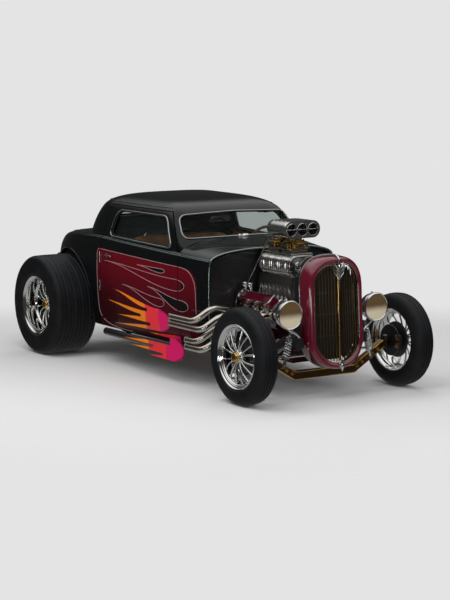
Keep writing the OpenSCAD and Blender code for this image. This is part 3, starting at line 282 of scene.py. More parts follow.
def facing(points, faces, middle):
    """The faces, turned over if they face towards the given middle."""
    quads = np.array([f[:3] for f in faces])
    a, b, c = (points[quads[:, k]] for k in range(3))
    out = (np.cross(b - a, c - a) * ((a + b + c) / 3 - middle)).sum()
    return faces if out > 0 else [f[::-1] for f in faces]


def inside(spots, loop):
    """Which of the flat points lie in a closed outline, by counting crossings."""
    a, b = loop, np.roll(loop, -1, 0)
    y = spots[:, 1][:, None]
    over = (a[None, :, 1] > y) != (b[None, :, 1] > y)
    rise = np.where(np.abs(b[:, 1] - a[:, 1]) < 1e-9, 1e-9, b[:, 1] - a[:, 1])
    cross = (b[:, 0] - a[:, 0])[None] * (y - a[None, :, 1]) / rise[None] + a[None, :, 0]
    return (over & (spots[:, 0][:, None] < cross)).sum(1) % 2 == 1


def trim(points, faces, axes, loop, where=None, keep=False):
    """Cuts a hole, or with keep cuts off what lies outside. The faces whose middles lie inside the outline go, and the points left on the hole's edge
    move to the nearest place on the outline. Returns the points, the faces and the edge as a path."""
    points, loop = points.copy(), np.asarray(loop, float)
    quads = np.array([f if len(f) == 4 else [*f, f[-1]] for f in faces])
    middle = points[quads].mean(1)
    gone = inside(middle[:, axes], loop) != keep
    if where is not None:
        gone &= where(middle)
    kept = quads[~gone]
    edge = np.intersect1d(np.unique(quads[gone]), np.unique(kept))
    spots = points[edge][:, axes]
    a, d = loop, np.roll(loop, -1, 0) - loop
    t = ((spots[:, None] - a[None]) * d[None]).sum(-1) / np.maximum((d ** 2).sum(-1), 1e-9)[None]
    near = a[None] + np.clip(t, 0, 1)[..., None] * d[None]
    far = ((near - spots[:, None]) ** 2).sum(-1)
    best = far.argmin(1)
    snapped = near[np.arange(len(edge)), best]
    points[edge[:, None], np.array(axes)[None]] = snapped
    place = best + np.clip(t, 0, 1)[np.arange(len(edge)), best]
    order = np.argsort(place)
    return points, [f[:3] if f[2] == f[3] else f for f in kept.tolist()], points[edge[order]]


# ---------------------------------------------------------------- the body's surfaces


def smooth_row(table, r, col):
    """A smooth value from a table's column at rows that needn't be whole (Catmull-Rom, ends held)."""
    t = np.asarray(table)[:, col]
    n = len(t)
    r = np.asarray(r, float)
    i = np.clip(np.floor(r).astype(int), 0, n - 2)
    f = r - i
    a, b, c, d = t[np.maximum(i - 1, 0)], t[i], t[i + 1], t[np.minimum(i + 2, n - 1)]
    return 0.5 * (2 * b + (c - a) * f + (2 * a - 5 * b + 4 * c - d) * f ** 2 + (3 * b - a - 3 * c + d) * f ** 3)


def quarter(angle, n):
    """A quarter superellipse: (cos a)^(2/n) and (sin a)^(2/n), the angle in degrees."""
    a = np.radians(angle)
    return np.maximum(np.cos(a), 0) ** (2 / n), np.maximum(np.sin(a), 0) ** (2 / n)


def forward(x):
    return np.clip((x - DOOR_REAR) / (COWL_FRONT - DOOR_REAR), 0, 1)


def narrowing(x):
    return TAPER * forward(x) ** 1.8


def fall(x):
    return DROP * forward(x)


ROWS = np.linspace(0, 10, 2001)
SHARES = np.maximum.accumulate(smooth_row(SIDE, ROWS, 0) + ROWS * 1e-9)


def side_z(share, x):
    return SILL + (BELT - SILL) * share - fall(x) * share


def side_point(x, r):
    """The side of the cowl and the doors at x, at a row of SIDE."""
    x, r = np.broadcast_arrays(np.asarray(x, float), np.asarray(r, float))
    return np.stack([x, HALF_W - smooth_row(SIDE, r, 2) - narrowing(x), side_z(smooth_row(SIDE, r, 0), x)], -1)


def side_at(x, z, lift=0.0):
    """The point of the left side seen at (x, z), moved out by lift."""
    x, z = np.broadcast_arrays(np.asarray(x, float), np.asarray(z, float))
    r = np.interp((z - SILL) / (BELT - SILL - fall(x)), SHARES, ROWS)
    return np.stack([x, HALF_W - smooth_row(SIDE, r, 2) - narrowing(x) + lift, z], -1)


def tail_n(r):
    return lerp(2.8, 3.0, np.clip((np.asarray(r) - 6) / 4, 0, 1))


def tail_point(r, angle):
    """The tail at a row, at an angle round it: 0 at the door's back edge and 90 at the middle."""
    r, angle = np.broadcast_arrays(np.asarray(r, float), np.asarray(angle, float))
    c, s = quarter(angle, tail_n(r))
    share = lerp(smooth_row(SIDE, r, 0), smooth_row(SIDE, r, 1), np.sin(np.radians(angle)) ** 2)
    return np.stack([DOOR_REAR - smooth_row(SIDE, r, 3) * TAIL_LENGTH * s,
                     (HALF_W - smooth_row(SIDE, r, 2)) * c, SILL + (BELT - SILL) * share], -1)


def tail_angle(r, y):
    return np.degrees(np.arccos(np.clip(y / (HALF_W - smooth_row(SIDE, r, 2)), 0, 1) ** (tail_n(r) / 2)))


def glass_z(r, x):
    h = smooth_row(GLASSHOUSE, r, 0)
    return lerp(BELT, ROOF, h) - fall(x) * (1 - h) ** 2


def glass_front(r):
    return SCREEN_X - smooth_row(GLASSHOUSE, r, 2)


def glass_half(r):
    return GLASS_HALF * smooth_row(GLASSHOUSE, r, 1)


def glass_point(r, angle):
    """Round the glasshouse: -90 at the rear's middle, 0 at the door's back edge, 90 at the front's middle."""
    r, angle = np.broadcast_arrays(np.asarray(r, float), np.asarray(angle, float))
    rear = angle < 0
    n = np.where(rear, 3.0, lerp(20.0, 4.0, np.clip((r - 4) / 4, 0, 1)))
    c, s = quarter(np.abs(angle), n)
    reach = np.where(rear, REAR_GLASS_X + smooth_row(GLASSHOUSE, r, 3), glass_front(r))
    x = lerp(DOOR_REAR + smooth_row(GLASSHOUSE, np.maximum(r, 4), 4), reach, s)
    h = smooth_row(GLASSHOUSE, r, 0)
    rise = np.where(rear, (BELT - SILL) * 0.016 * np.sin(np.radians(angle)) ** 2 * (1 - h), 0)
    return np.stack([x, (glass_half(r) - narrowing(x)) * c, glass_z(r, x) + rise], -1)


def glass_side(r, x):
    """The glasshouse's side wall at x, for the door."""
    u = np.clip((x - DOOR_REAR) / (glass_front(r) - DOOR_REAR), 0, 1)
    y = (glass_half(r) - narrowing(x)) * (1 - u ** 20) ** 0.05
    return np.stack(np.broadcast_arrays(x, y, glass_z(r, x)), -1)


def cowl_top(x):
    return lerp(1116.0, 1070.0, (x - SCREEN_X) / (COWL_FRONT - SCREEN_X))


def cowl_arch(x, angle):
    x, angle = np.broadcast_arrays(np.asarray(x, float), np.asarray(angle, float))
    c, s = quarter(angle, 2.5)
    low = side_point(x, 6)
    return np.stack([x, low[..., 1] * c, low[..., 2] + (cowl_top(x) - low[..., 2]) * s], -1)


def screen_plane_x(z):
    return SCREEN_X - 22 * np.clip((z - BELT + 38) / 110, 0, 1)


def door_edge(r, margin=0.0):
    return np.minimum(DOOR_FRONT, glass_front(r) - PILLAR) + margin


DOOR_TOP = 3.7
WINDOW_LOW, WINDOW_HIGH = 0.35, 3.05


def window_loop(grow=0.0):
    """The side window's opening, seen from the side."""
    rear = DOOR_REAR + 95
    corners = np.array([
        [rear, glass_z(WINDOW_LOW, rear)], [rear + 25, glass_z(WINDOW_HIGH, rear)],
        [door_edge(WINDOW_HIGH, -62), glass_z(WINDOW_HIGH, 0.0)],
        [door_edge(WINDOW_LOW, -62), glass_z(WINDOW_LOW, DOOR_FRONT) + 14]], float)
    middle = corners.mean(0)
    corners = corners + np.sign(corners - middle) * grow
    return resample(rounded(corners, 60, 12), 240, True)


def door_loop(margin):
    """The door's outline seen from the side, grown by a margin."""
    rows = np.array([DOOR_TOP, 3.1, 2.4, 1.8, 1.2, 0.6, 0.12])
    front = np.column_stack([door_edge(rows, margin), glass_z(rows, door_edge(rows)) + margin])
    back = [[DOOR_REAR - margin, 200], [DOOR_REAR - margin, BELT],
            [DOOR_REAR - margin, glass_z(DOOR_TOP, DOOR_REAR) + margin]]
    lower = [[DOOR_FRONT + margin, side_z(1, DOOR_FRONT) + margin], [DOOR_FRONT + margin, 200]]
    return np.concatenate([back, front, lower])


def screen_loop(grow=0.0):
    """The windscreen's opening seen from ahead."""
    corners = np.array([[-548, 1118], [548, 1118], [505, 1292], [0, 1306], [-505, 1292]], float)
    middle = np.array([0, 1205.0])
    return resample(rounded(corners + np.sign(corners - middle) * grow, 62, 12), 300, True)


def rear_loop(grow=0.0):
    """The rear window's opening seen from behind."""
    corners = np.array([[-330, 1178], [330, 1178], [305, 1292], [-305, 1292]], float)
    return resample(rounded(corners + np.sign(corners - [0, 1235]) * grow, 52, 12), 240, True)


# ---------------------------------------------------------------- gathering a piece


class Shape:
    """Closed parts gathered into one piece, each with the number of its material."""

    def __init__(self):
        self.points, self.faces, self.marks, self.count = [], [], [], 0

    def add(self, part, mark=0, both=False):
        points, faces = part
        points = np.asarray(points, float)
        self.points.append(points)
        self.faces += [[v + self.count for v in f] for f in faces]
        self.marks += [mark] * len(faces)
        self.count += len(points)
        if both:
            self.add(mirrored(part), mark)
        return self

    def make(self, name, body, finishes, replaces=(), slot=None, sharp=35, weld=0.0):
        """The finished object, in metres, riding on a CAD body."""
        mesh = bpy.data.meshes.new(name)
        mesh.from_pydata((np.concatenate(self.points) * 0.001).tolist(), [], self.faces)
        mesh.polygons.foreach_set("material_index", np.array(self.marks, np.int32))
        for finish in finishes:
            mesh.materials.append(material(finish))
        work = bmesh.new()
        work.from_mesh(mesh)
        bmesh.ops.remove_doubles(work, verts=work.verts, dist=max(weld, 0.004) * 0.001)
        bmesh.ops.recalc_face_normals(work, faces=work.faces)
        work.to_mesh(mesh)
        work.free()
        mesh.shade_smooth()
        mesh.set_sharp_from_angle(angle=math.radians(sharp))
        mesh.update()
        piece = bpy.data.objects.new(name, mesh)
        bpy.context.scene.collection.objects.link(piece)
        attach(piece, body)
        if replaces:
            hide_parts(*replaces)
        return piece


# ---------------------------------------------------------------- materials


class Val:
    """A node's output that can be added, multiplied and compared like a number."""

    def __init__(self, tree, socket):
        self.tree, self.socket = tree, socket

    def do(self, operation, *inputs, clamp=False):
        node = self.tree.nodes.new("ShaderNodeMath")
        node.operation, node.use_clamp = operation, clamp
        for place, value in zip(node.inputs, inputs):
            if isinstance(value, Val):
                self.tree.links.new(value.socket, place)
            else:
                place.default_value = value
        return Val(self.tree, node.outputs[0])

    def __add__(self, other):
        return self.do("ADD", self, other)

    def __radd__(self, other):
        return self.do("ADD", other, self)

    def __sub__(self, other):
        return self.do("SUBTRACT", self, other)

    def __rsub__(self, other):
        return self.do("SUBTRACT", other, self)

    def __mul__(self, other):
        return self.do("MULTIPLY", self, other)

    def __rmul__(self, other):
        return self.do("MULTIPLY", other, self)

    def __truediv__(self, other):
        return self.do("DIVIDE", self, other)

    def __rtruediv__(self, other):
        return self.do("DIVIDE", other, self)

    def __neg__(self):
        return self.do("MULTIPLY", self, -1.0)

    def power(self, n):
        return self.do("POWER", self, n)

    def least(self, other):
        return self.do("MINIMUM", self, other)

    def most(self, other):
        return self.do("MAXIMUM", self, other)

    def size(self):
        return self.do("ABSOLUTE", self)

    def sine(self):
        return self.do("SINE", self)

    def step(self, low, high):
        """0 below low and 1 above high, with a smooth rise between; low may be above high to fall instead."""
        if low > high:
            return 1.0 - self.step(high, low)
        node = self.tree.nodes.new("ShaderNodeMapRange")
        node.interpolation_type = "SMOOTHSTEP"
        self.tree.links.new(self.socket, node.inputs["Value"])
        node.inputs["From Min"].default_value, node.inputs["From Max"].default_value = low, high
        return Val(self.tree, node.outputs["Result"])


class Finish:
    """A material being built: a Principled shader and the nodes that feed it."""

    def __init__(self, name):
        self.material = bpy.data.materials.new(name)
        self.material.use_nodes = True
        self.tree = self.material.node_tree
        self.shader = self.tree.nodes["Principled BSDF"]
        self.place = self.node("ShaderNodeTexCoord").outputs["Object"]

    def node(self, kind, settings=(), inputs=()):
        """Any node, with its settings and its inputs, each a number, a colour, a socket or a Val."""
        made = self.tree.nodes.new(kind)
        for key, value in dict(settings).items():
            setattr(made, key, value)
        for key, value in dict(inputs).items():
            self.feed(made.inputs[key], value)
        return made

    def feed(self, place, value):
        if isinstance(value, Val):
            value = value.socket
        if isinstance(value, bpy.types.NodeSocket):
            self.tree.links.new(value, place)
        else:
            place.default_value = value

    def axis(self, name):
        """One of the object's coordinates, in metres."""
        if not hasattr(self, "split"):
            self.split = self.node("ShaderNodeSeparateXYZ", (), {"Vector": self.place})
        return Val(self.tree, self.split.outputs[name])

    def noise(self, scale, detail=3.0, stretch=None):
        """Noise from 0 to 1 in the object's own space, stretched along the axes if asked."""
        vector = self.place
        if stretch:
            vector = self.node("ShaderNodeVectorMath", {"operation": "MULTIPLY"},
                               {0: self.place, 1: stretch}).outputs[0]
        return Val(self.tree, self.node("ShaderNodeTexNoise", (), {
            "Vector": vector, "Scale": scale, "Detail": detail}).outputs["Fac"])

    def mix(self, factor, a, b):
        """A colour that goes from a to b as the factor goes from 0 to 1."""
        made = self.node("ShaderNodeMix", {"data_type": "RGBA"})
        self.feed(made.inputs[0], factor)
        for number, value in ((6, a), (7, b)):
            self.feed(made.inputs[number], (*value, 1.0) if isinstance(value, tuple) and len(value) == 3 else value)
        return made.outputs[2]

    def bump(self, height, strength, distance):
        self.feed(self.shader.inputs["Normal"], self.node("ShaderNodeBump", (), {
            "Strength": strength, "Distance": distance, "Height": height}).outputs["Normal"])

    def set(self, **inputs):
        names = {"colour": "Base Color", "rough": "Roughness", "metal": "Metallic", "coat": "Coat Weight",
                 "coat_rough": "Coat Roughness", "glow": "Emission Color", "glow_power": "Emission Strength",
                 "alpha": "Alpha", "specular": "Specular IOR Level", "ior": "IOR"}
        for key, value in inputs.items():
            if isinstance(value, tuple) and len(value) == 3:
                value = (*value, 1.0)
            self.feed(self.shader.inputs[names[key]], value)
        return self


def worn(finish, colour, spread=0.10, scale=9.0):
    """A colour that drifts a little lighter and darker over the surface."""
    dark, light = (tuple(min(1.0, c * k) for c in colour) for k in (1 - spread, 1 + spread))
    return finish.mix(finish.noise(scale, 4.0), dark, light)


def metal(name, colour, rough, brushed=0.0, spread=0.08):
    """Plated or cast metal: colour drift, roughness clouds and, if brushed, fine grain in the normal."""
    f = Finish(name)
    cloud = f.noise(14.0, 3.0)
    f.set(colour=worn(f, colour, spread), metal=1.0, rough=rough + 0.10 * (cloud - 0.5))
    if brushed:
        f.bump(f.noise(220.0, 2.0), brushed, 0.0008)
    return f.material


def body_paint(name, looks):
    """Black lacquer with a deep red field on the sides, ruled off below the belt and rounded at its front corner.
    The field's distance is that of a box with a round corner: max(|x| - a, |z| - b) with a radius."""
    f = Finish(name)
    x, z, y = f.axis("X"), f.axis("Z"), f.axis("Y").size()
    slope = 0.0425
    belt = 0.958 - slope * (x + 0.637)
    across, up = x - 0.600, z - (belt - 0.150)
    corner = (across.most(0.0).power(2.0) + up.most(0.0).power(2.0)).power(0.5) - 0.150
    edge = corner.most(-0.690 - x)
    field = edge.step(0.0015, -0.0015) * y.step(0.40, 0.46)
    # Painted light: the red field brightens towards its top, towards the front and over the middle of the door.
    light = (z.step(0.55, 0.95) * 0.65 + (x + 0.3 * z).step(-0.2, 0.9) * 0.20
             + 0.35 * (1.0 - (x + 0.15).size().step(0.1, 0.75)) * z.step(0.4, 0.8))
    # Painted shade: the red field darkens to black towards the bottom and the rear.
    shade = (z + 0.30 * x).step(0.27, 0.62)
    red = f.mix(light, tuple(looks.maroon_dark), tuple(looks.maroon_light))
    red = f.mix(shade, tuple(looks.black_paint), red)
    flakes = f.noise(900.0, 1.0)
    red = f.mix(flakes * 0.25, red, (0.20, 0.004, 0.010))
    black = worn(f, tuple(looks.black_paint), 0.25, 3.0)
    f.set(colour=f.mix(field, black, red), rough=0.20 + 0.05 * (f.noise(6.0) - 0.5), coat=0.55, coat_rough=0.03,
          specular=0.12)
    f.bump(f.noise(40.0, 1.0), 0.004, 0.001)
    return f.material


def lacquer(name, colour, rough=0.22, coat=1.0, flake=0.0):
    """Gloss paint under a clear coat, with faint orange peel and, for candy colours, fine flakes."""
    f = Finish(name)
    base = worn(f, colour, 0.15, 5.0)
    if flake:
        base = f.mix(f.noise(1100.0, 1.0).step(0.5, 0.8) * flake, base, tuple(min(1.0, 2.2 * c + 0.02) for c in colour))
    f.set(colour=base, rough=rough + 0.06 * (f.noise(8.0) - 0.5), coat=coat, coat_rough=0.04)
    f.bump(f.noise(40.0, 1.0), 0.004, 0.001)
    return f.material


def flame(name, looks):
    """Sprayed bands along x, orange at the tongues, then red, then pink at the bulb. The front of each bulb is
    shaded by the distance from an ellipse, ((x - a) / w)^2 + ((z - c) / h)^2."""
    f = Finish(name)
    x = f.axis("X") + 0.016 * (f.noise(4.0) - 0.5)
    z = f.axis("Z")
    under = (z - 0.06 * x).step(0.342, 0.339)
    first = f.mix((x - 0.135 * under).step(0.032, 0.052), tuple(looks.flame_rear), tuple(looks.flame_middle))
    second = f.mix((x - 0.215 * under).step(0.222, 0.240), first, tuple(looks.flame_front))

    def shade(a, c, w, h, low, high):
        far = (((x - a) / w).power(2.0) + ((z - c) / h).power(2.0)).power(0.5)
        return far.step(0.80, 1.02) * x.step(a, a + 0.4 * w) * z.step(low, low + 0.01) * z.step(high + 0.01, high)

    # Painted shade: the front of each bulb darkens towards its rim.
    dark = shade(0.230, 0.455, 0.170, 0.092, 0.352, 0.9).most(shade(0.560, 0.267, 0.156, 0.092, 0.150, 0.390))
    f.set(colour=f.mix(dark * 0.93, second, (0.02, 0.001, 0.008)), rough=0.30 + 0.05 * (f.noise(30.0) - 0.5), coat=0.5,
          coat_rough=0.08)
    return f.material


def rubber(name, colour):
    f = Finish(name)
    dust = f.noise(7.0, 4.0)
    f.set(colour=f.mix(dust.step(0.35, 0.8), tuple(colour), tuple(1.45 * c + 0.002 for c in colour)),
          rough=0.50 + 0.16 * (dust - 0.5), specular=0.25)
    f.bump(f.noise(420.0, 2.0), 0.12, 0.001)
    return f.material


def leather(name, colour):
    f = Finish(name)
    grain = Val(f.tree, f.node("ShaderNodeTexVoronoi", (), {"Vector": f.place, "Scale": 260.0}).outputs["Distance"])
    wear = f.noise(6.0, 4.0)
    deep, pale = (tuple(min(1.0, c * k) for c in colour) for k in (0.62, 1.35))
    f.set(colour=f.mix(wear.step(0.3, 0.75), deep, pale), rough=0.46 + 0.16 * (wear - 0.5), coat=0.15)
    f.bump(grain, 0.25, 0.0012)
    return f.material


def glass(name, tint, clear):
    """Thin sheet glass: mostly clear, with a reflection that grows at a glancing view."""
    f = Finish(name)
    f.set(colour=worn(f, tint, 0.08, 4.0), rough=0.02, specular=0.6, coat=1.0, coat_rough=0.01)
    out = f.tree.nodes["Material Output"]
    through = f.node("ShaderNodeBsdfTransparent", (), {"Color": (*clear, 1.0)})
    grazing = Val(f.tree, f.node("ShaderNodeLayerWeight", (), {"Blend": 0.22}).outputs["Fresnel"])
    smear = f.noise(5.0, 2.0)
    both = f.node("ShaderNodeMixShader")
    f.feed(both.inputs[0], grazing * 0.40 + 0.015 + 0.01 * smear)
    f.feed(both.inputs[1], through.outputs[0])
    f.feed(both.inputs[2], f.shader.outputs[0])
    f.feed(out.inputs["Surface"], both.outputs[0])
    return f.material


def lamp(name, colour, power, rough=0.12):
    """Moulded lamp glass: warm, coated, with a faint glow that stands for the lit reflector behind it."""
    f = Finish(name)
    streak = f.noise(18.0, 2.0, (0.3, 1.0, 1.0))
    f.set(colour=f.mix(streak, tuple(0.75 * c for c in colour), colour), rough=rough + 0.04 * (streak - 0.5), coat=1.0,
          coat_rough=0.02, glow=f.mix(streak, tuple(0.6 * c for c in colour), colour), glow_power=power)
    return f.material


def headlamp(name):
    """Fluted glass over a lit bowl: cream below, brown above, by height."""
    f = Finish(name)
    z = f.axis("Z") + 0.012 * (f.noise(14.0, 2.0, (1.0, 1.0, 0.3)) - 0.5)
    f.set(colour=f.mix(z.step(0.612, 0.675), (0.70, 0.62, 0.44), (0.13, 0.080, 0.036)), rough=0.16, coat=1.0,
          coat_rough=0.02)
    return f.material


def finishes(looks):
    """Every finish by its name, as functions so that only the ones asked for are made."""
    black = tuple(looks.black_paint)
    return {
        "black_paint": lambda n: body_paint(n, looks),
        "candy_red": lambda n: lacquer(n, tuple(looks.candy_red), 0.18, 1.0, 0.5),
        "maroon_paint": lambda n: lacquer(n, tuple(looks.maroon_dark), 0.22, 1.0, 0.3),
        "flame_paint": lambda n: flame(n, looks),
        "lick_black": lambda n: lacquer(n, tuple(0.6 * c for c in black), 0.25, 0.8),
        "pinstripe": lambda n: lacquer(n, tuple(looks.pinstripe), 0.4, 0.2),
        # Metal of the beads; its pale teal-grey tint is partly painted highlight, standing for the light lines along
        # black beads.
        "belt_metal": lambda n: metal(n, (0.36, 0.46, 0.44), 0.24, 0.0, 0.12),
        "trim_grey": lambda n: metal(n, (0.42, 0.42, 0.41), 0.25),
        "chassis_black": lambda n: lacquer(n, (0.012, 0.012, 0.013), 0.34, 0.5),
        "inner_black": lambda n: lacquer(n, (0.010, 0.010, 0.010), 0.62, 0.0),
        "chrome": lambda n: metal(n, (0.90, 0.90, 0.89), 0.09),
        "nickel": lambda n: metal(n, (0.72, 0.68, 0.60), 0.15),
        "polished_alloy": lambda n: metal(n, (0.84, 0.83, 0.80), 0.20, 0.05),
        "cast_alloy": lambda n: metal(n, (0.56, 0.55, 0.52), 0.30, 0.15, 0.15),
        "bronze": lambda n: metal(n, tuple(looks.bronze), 0.30, 0.08, 0.2),
        "brass": lambda n: metal(n, tuple(looks.brass), 0.24, 0.10, 0.22),
        "gold": lambda n: metal(n, (0.78, 0.50, 0.16), 0.16),
        "cast_iron": lambda n: metal(n, (0.10, 0.10, 0.10), 0.52, 0.35, 0.25),
        "steel": lambda n: metal(n, (0.33, 0.33, 0.33), 0.34, 0.12, 0.15),
        "bar_bronze": lambda n: metal(n, (0.18, 0.12, 0.06), 0.32, 0.05, 0.2),
        "glass": lambda n: glass(n, (0.03, 0.035, 0.035), (0.90, 0.93, 0.92)),
        "lamp_glass": lambda n: headlamp(n),
        "clear_lens": lambda n: glass(n, (0.5, 0.46, 0.34), (0.92, 0.90, 0.84)),
        "reflector": lambda n: metal(n, (0.86, 0.80, 0.62), 0.12),
        "red_lens": lambda n: lamp(n, (0.42, 0.01, 0.01), 0.12),
        "leather": lambda n: leather(n, tuple(looks.leather)),
        "wheel_leather": lambda n: leather(n, (0.10, 0.045, 0.02)),
        "carpet": lambda n: rubber(n, (0.020, 0.014, 0.012)),
        "tyre": lambda n: rubber(n, tuple(looks.rubber)),
        "belt_rubber": lambda n: rubber(n, (0.012, 0.012, 0.013)),
        "dial": lambda n: lacquer(n, (0.55, 0.52, 0.42), 0.4, 0.3),
        "floor": lambda n: floor_finish(n),
    }


MADE = {}


def material(name):
    """The finish of that name, made once."""
    if name not in MADE:
        MADE[name] = finishes(bpy.context.scene.hot_rod)[name](name)
    return MADE[name]


def dress(node, finish, sharp=35):
    """Gives a CAD node that is kept a worked finish and smooth shading where its facets nearly agree."""
    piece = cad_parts[node]
    piece.data.materials.clear()
    piece.data.materials.append(material(finish))
    return piece


# ---------------------------------------------------------------- body panels


def grid_skin(grid, middle):
    points, faces = sheet(grid)
    return points, facing(points, faces, np.asarray(middle, float))


def roof_grid():
    rows = np.concatenate([np.linspace(0, 8, 97)])
    rear = np.linspace(-90, -1, 70)
    front = np.unique(np.concatenate([[0, 0.0005, 0.002, 0.01, 0.06, 0.3, 1, 2, 4, 8, 14], np.linspace(20, 70, 40),
                                      [76, 82, 86, 88, 89, 89.6, 89.94, 90]]))
    angles = np.concatenate([rear, front])
    half = glass_point(rows[:, None], angles[None, :])
    ring = np.concatenate([half, half[:, -2:0:-1] * [1, -1, 1]], 1)
    middle = ring[-1].mean(0)
    crown = []
    for t in np.linspace(0.2, 0.98, 6):
        crown.append(lerp(ring[-1], middle, t) * [1, 1, 0] + [0, 0, ring[-1, 0, 2] + 2.2 * (1 - (1 - t) ** 2)])
    ring = np.concatenate([ring, np.array(crown)])
    ring[0, :, 2] += 0.4
    return ring


def door_skin():
    """The door's outer skin on the left, with its window cut out, and the window's edge as a path."""
    t = np.linspace(0, 1, 90)
    lower = np.linspace(0, 10, 81)
    upper = np.linspace(0.12, DOOR_TOP, 46)
    low = side_point(lerp(DOOR_REAR, DOOR_FRONT, t)[None, :], lower[:, None])
    top = glass_side(upper[:, None], lerp(DOOR_REAR, door_edge(upper)[:, None], t[None, :]))
    points, faces = sheet(np.concatenate([low, top]))
    faces = facing(points, faces, np.array([-60, 0, 800.0]))
    return trim(points, faces, [0, 2], window_loop())


def offset_path(path, centre, out):
    return path + unit(path - centre) * out


def build_doors(looks):
    points, faces, edge = door_skin()
    wall = thick(points, faces, 30.0)
    for side, name in ((1, "left"), (-1, "right")):
        keep = (lambda part: part) if side == 1 else mirrored
        shape = Shape().add(keep(wall), 0)
        shape.make(f"door_skin_{name}", f"door_{name}", ["black_paint"], [f"door_{name}"], "black_paint", weld=0.02)
        trimmings = Shape()
        ring = resample(edge, 200, True)
        trimmings.add(keep(tube(ring + [0, 2.0, 0], looks.window_bead * 1000, 12, True)), 0)
        ring_in = window_loop(-9.0)
        spots = glass_wall(ring_in[:, 0], ring_in[:, 1], -12.0)
        trimmings.add(keep(tube(resample(spots, 200, True), 5.0, 8, True)), 2)
        for row, width in ((7.15, 7.0), (8.6, 7.0)):
            path = side_point(np.linspace(DOOR_REAR + 1, DOOR_FRONT - 1, 60), row)
            trimmings.add(keep(strip(path, [0, 0.94, 0.34], width, 5.0)), 1)
        handle = side_at(-540, 905, 22)
        trimmings.add(keep(tube(bent([handle - [0, 26, 0], handle, handle + [90, 0, 4], handle + [112, 0, -3]], 12),
                                [8, 7.5, 7, *[6.5] * 17, 5.5, 4.5][:22], 12)), 0)
        trimmings.add(keep(lathe([[0, 0], [20, 0], [19, 5], [10, 9], [0, 9]], side_at(-540, 905, -1), [0, 1, 0], 24)), 0)
        for z in (600, 840):
            for k in range(2):
                start = z + 50.5 * k
                size = 50 if k == 0 else 40
                if k == 0:
                    trimmings.add(keep(lathe([[0, 0], [9, 0], [9, size], [0, size]],
                                             [DOOR_REAR - GAP / 2, 684, start], [0, 0, 1], 20)), 0)
        trimmings.make(f"door_trim_{name}", f"door_{name}", ["trim_grey", "belt_metal", "belt_rubber"], (), "chrome")


def glass_wall(x, z, lift=0.0):
    """The glasshouse's side seen at (x, z): z is solved for the share above the belt, then for the row."""
    f = fall(x)
    g = np.where(f > 1e-6, (-363 + np.sqrt(np.maximum(363 ** 2 - 4 * f * (z - ROOF), 0))) / (2 * np.maximum(f, 1e-6)),
                 (ROOF - z) / 363)
    rows = np.linspace(0, 8, 1601)
    r = np.interp(1 - g, np.maximum.accumulate(smooth_row(GLASSHOUSE, rows, 0)), rows)
    point = glass_side(r, x)
    return np.column_stack([x, point[:, 1] + lift, z])


def build_roof(looks):
    grid = roof_grid()
    points, faces = sheet(grid, False, True)
    tip, cols = len(points), grid.shape[1]
    last = tip - cols
    points = np.concatenate([points, points[last:].mean(0)[None]])
    faces += [[last + j, last + (j + 1) % cols, tip] for j in range(cols)]
    faces = facing(points, faces, np.array([-300, 0, 1200.0]))
    for side in (1, -1):
        points, faces, _ = trim(points, faces, [0, 2], door_loop(GAP), lambda m, s=side: m[:, 1] * s > 0)
    points, faces, front = trim(points, faces, [1, 2], screen_loop(), lambda m: m[:, 0] > 100)
    points, faces, rear = trim(points, faces, [1, 2], rear_loop(), lambda m: m[:, 0] < -500)
    Shape().add(thick(points, faces, 22.0)).make("roof_skin", "body", ["black_paint"], ["roof"], weld=0.02, sharp=40)
    trimmings = Shape()
    bead = looks.window_bead * 1000
    trimmings.add(tube(resample(front, 260, True) + [2, 0, 0], bead, 12, True), 0)
    trimmings.add(tube(resample(rear, 200, True) - [2, 0, 0], bead, 12, True), 0)
    for x, grow in ((1, -8.0), (-1, -8.0)):
        loop = screen_loop(grow) if x == 1 else rear_loop(grow)
        edge = front if x == 1 else rear
        near = np.argmin(((loop[:, None] - edge[None][:, :, 1:]) ** 2).sum(-1), 1)
        path = np.column_stack([edge[near, 0] - 10 * x, loop])
        trimmings.add(tube(resample(path, 200, True), 5.0, 8, True), 2)
    rail = np.concatenate([glass_point(4.35, np.array([-62, -50, -38, -26, -14, -5])),
                           glass_side(np.full(14, 4.35), np.linspace(DOOR_REAR, 195, 14))])
    trimmings.add(strip(spline(rail, 90), unit(rail[8] * [0, 1, 0] + [0, 0, 330]), 8, 6), 1, True)
    trimmings.make("roof_trim", "body", ["trim_grey", "belt_metal", "belt_rubber"], (), "chrome")


def tail_rows():
    return np.concatenate([np.linspace(0, 2.2, 20), np.linspace(2.2, 9.2, 57)[1:], np.linspace(9.2, 10, 10)[1:]])


def tail_columns(r, edge_y, quarter_steps=90, lid_steps=30):
    start = tail_point(r, 0.0) - [GAP, 0, 0]
    edge = tail_angle(r, edge_y)
    side = [tail_point(r, edge * t) for t in np.linspace(0, 1, quarter_steps + 1)[1:]]
    lid = [tail_point(r, tail_angle(r, edge_y * (1 - t))) for t in np.linspace(0, 1, lid_steps + 1)[1:]]
    half = np.array([start] + side + lid)
    return np.concatenate([half * [1, -1, 1], half[-2::-1]])


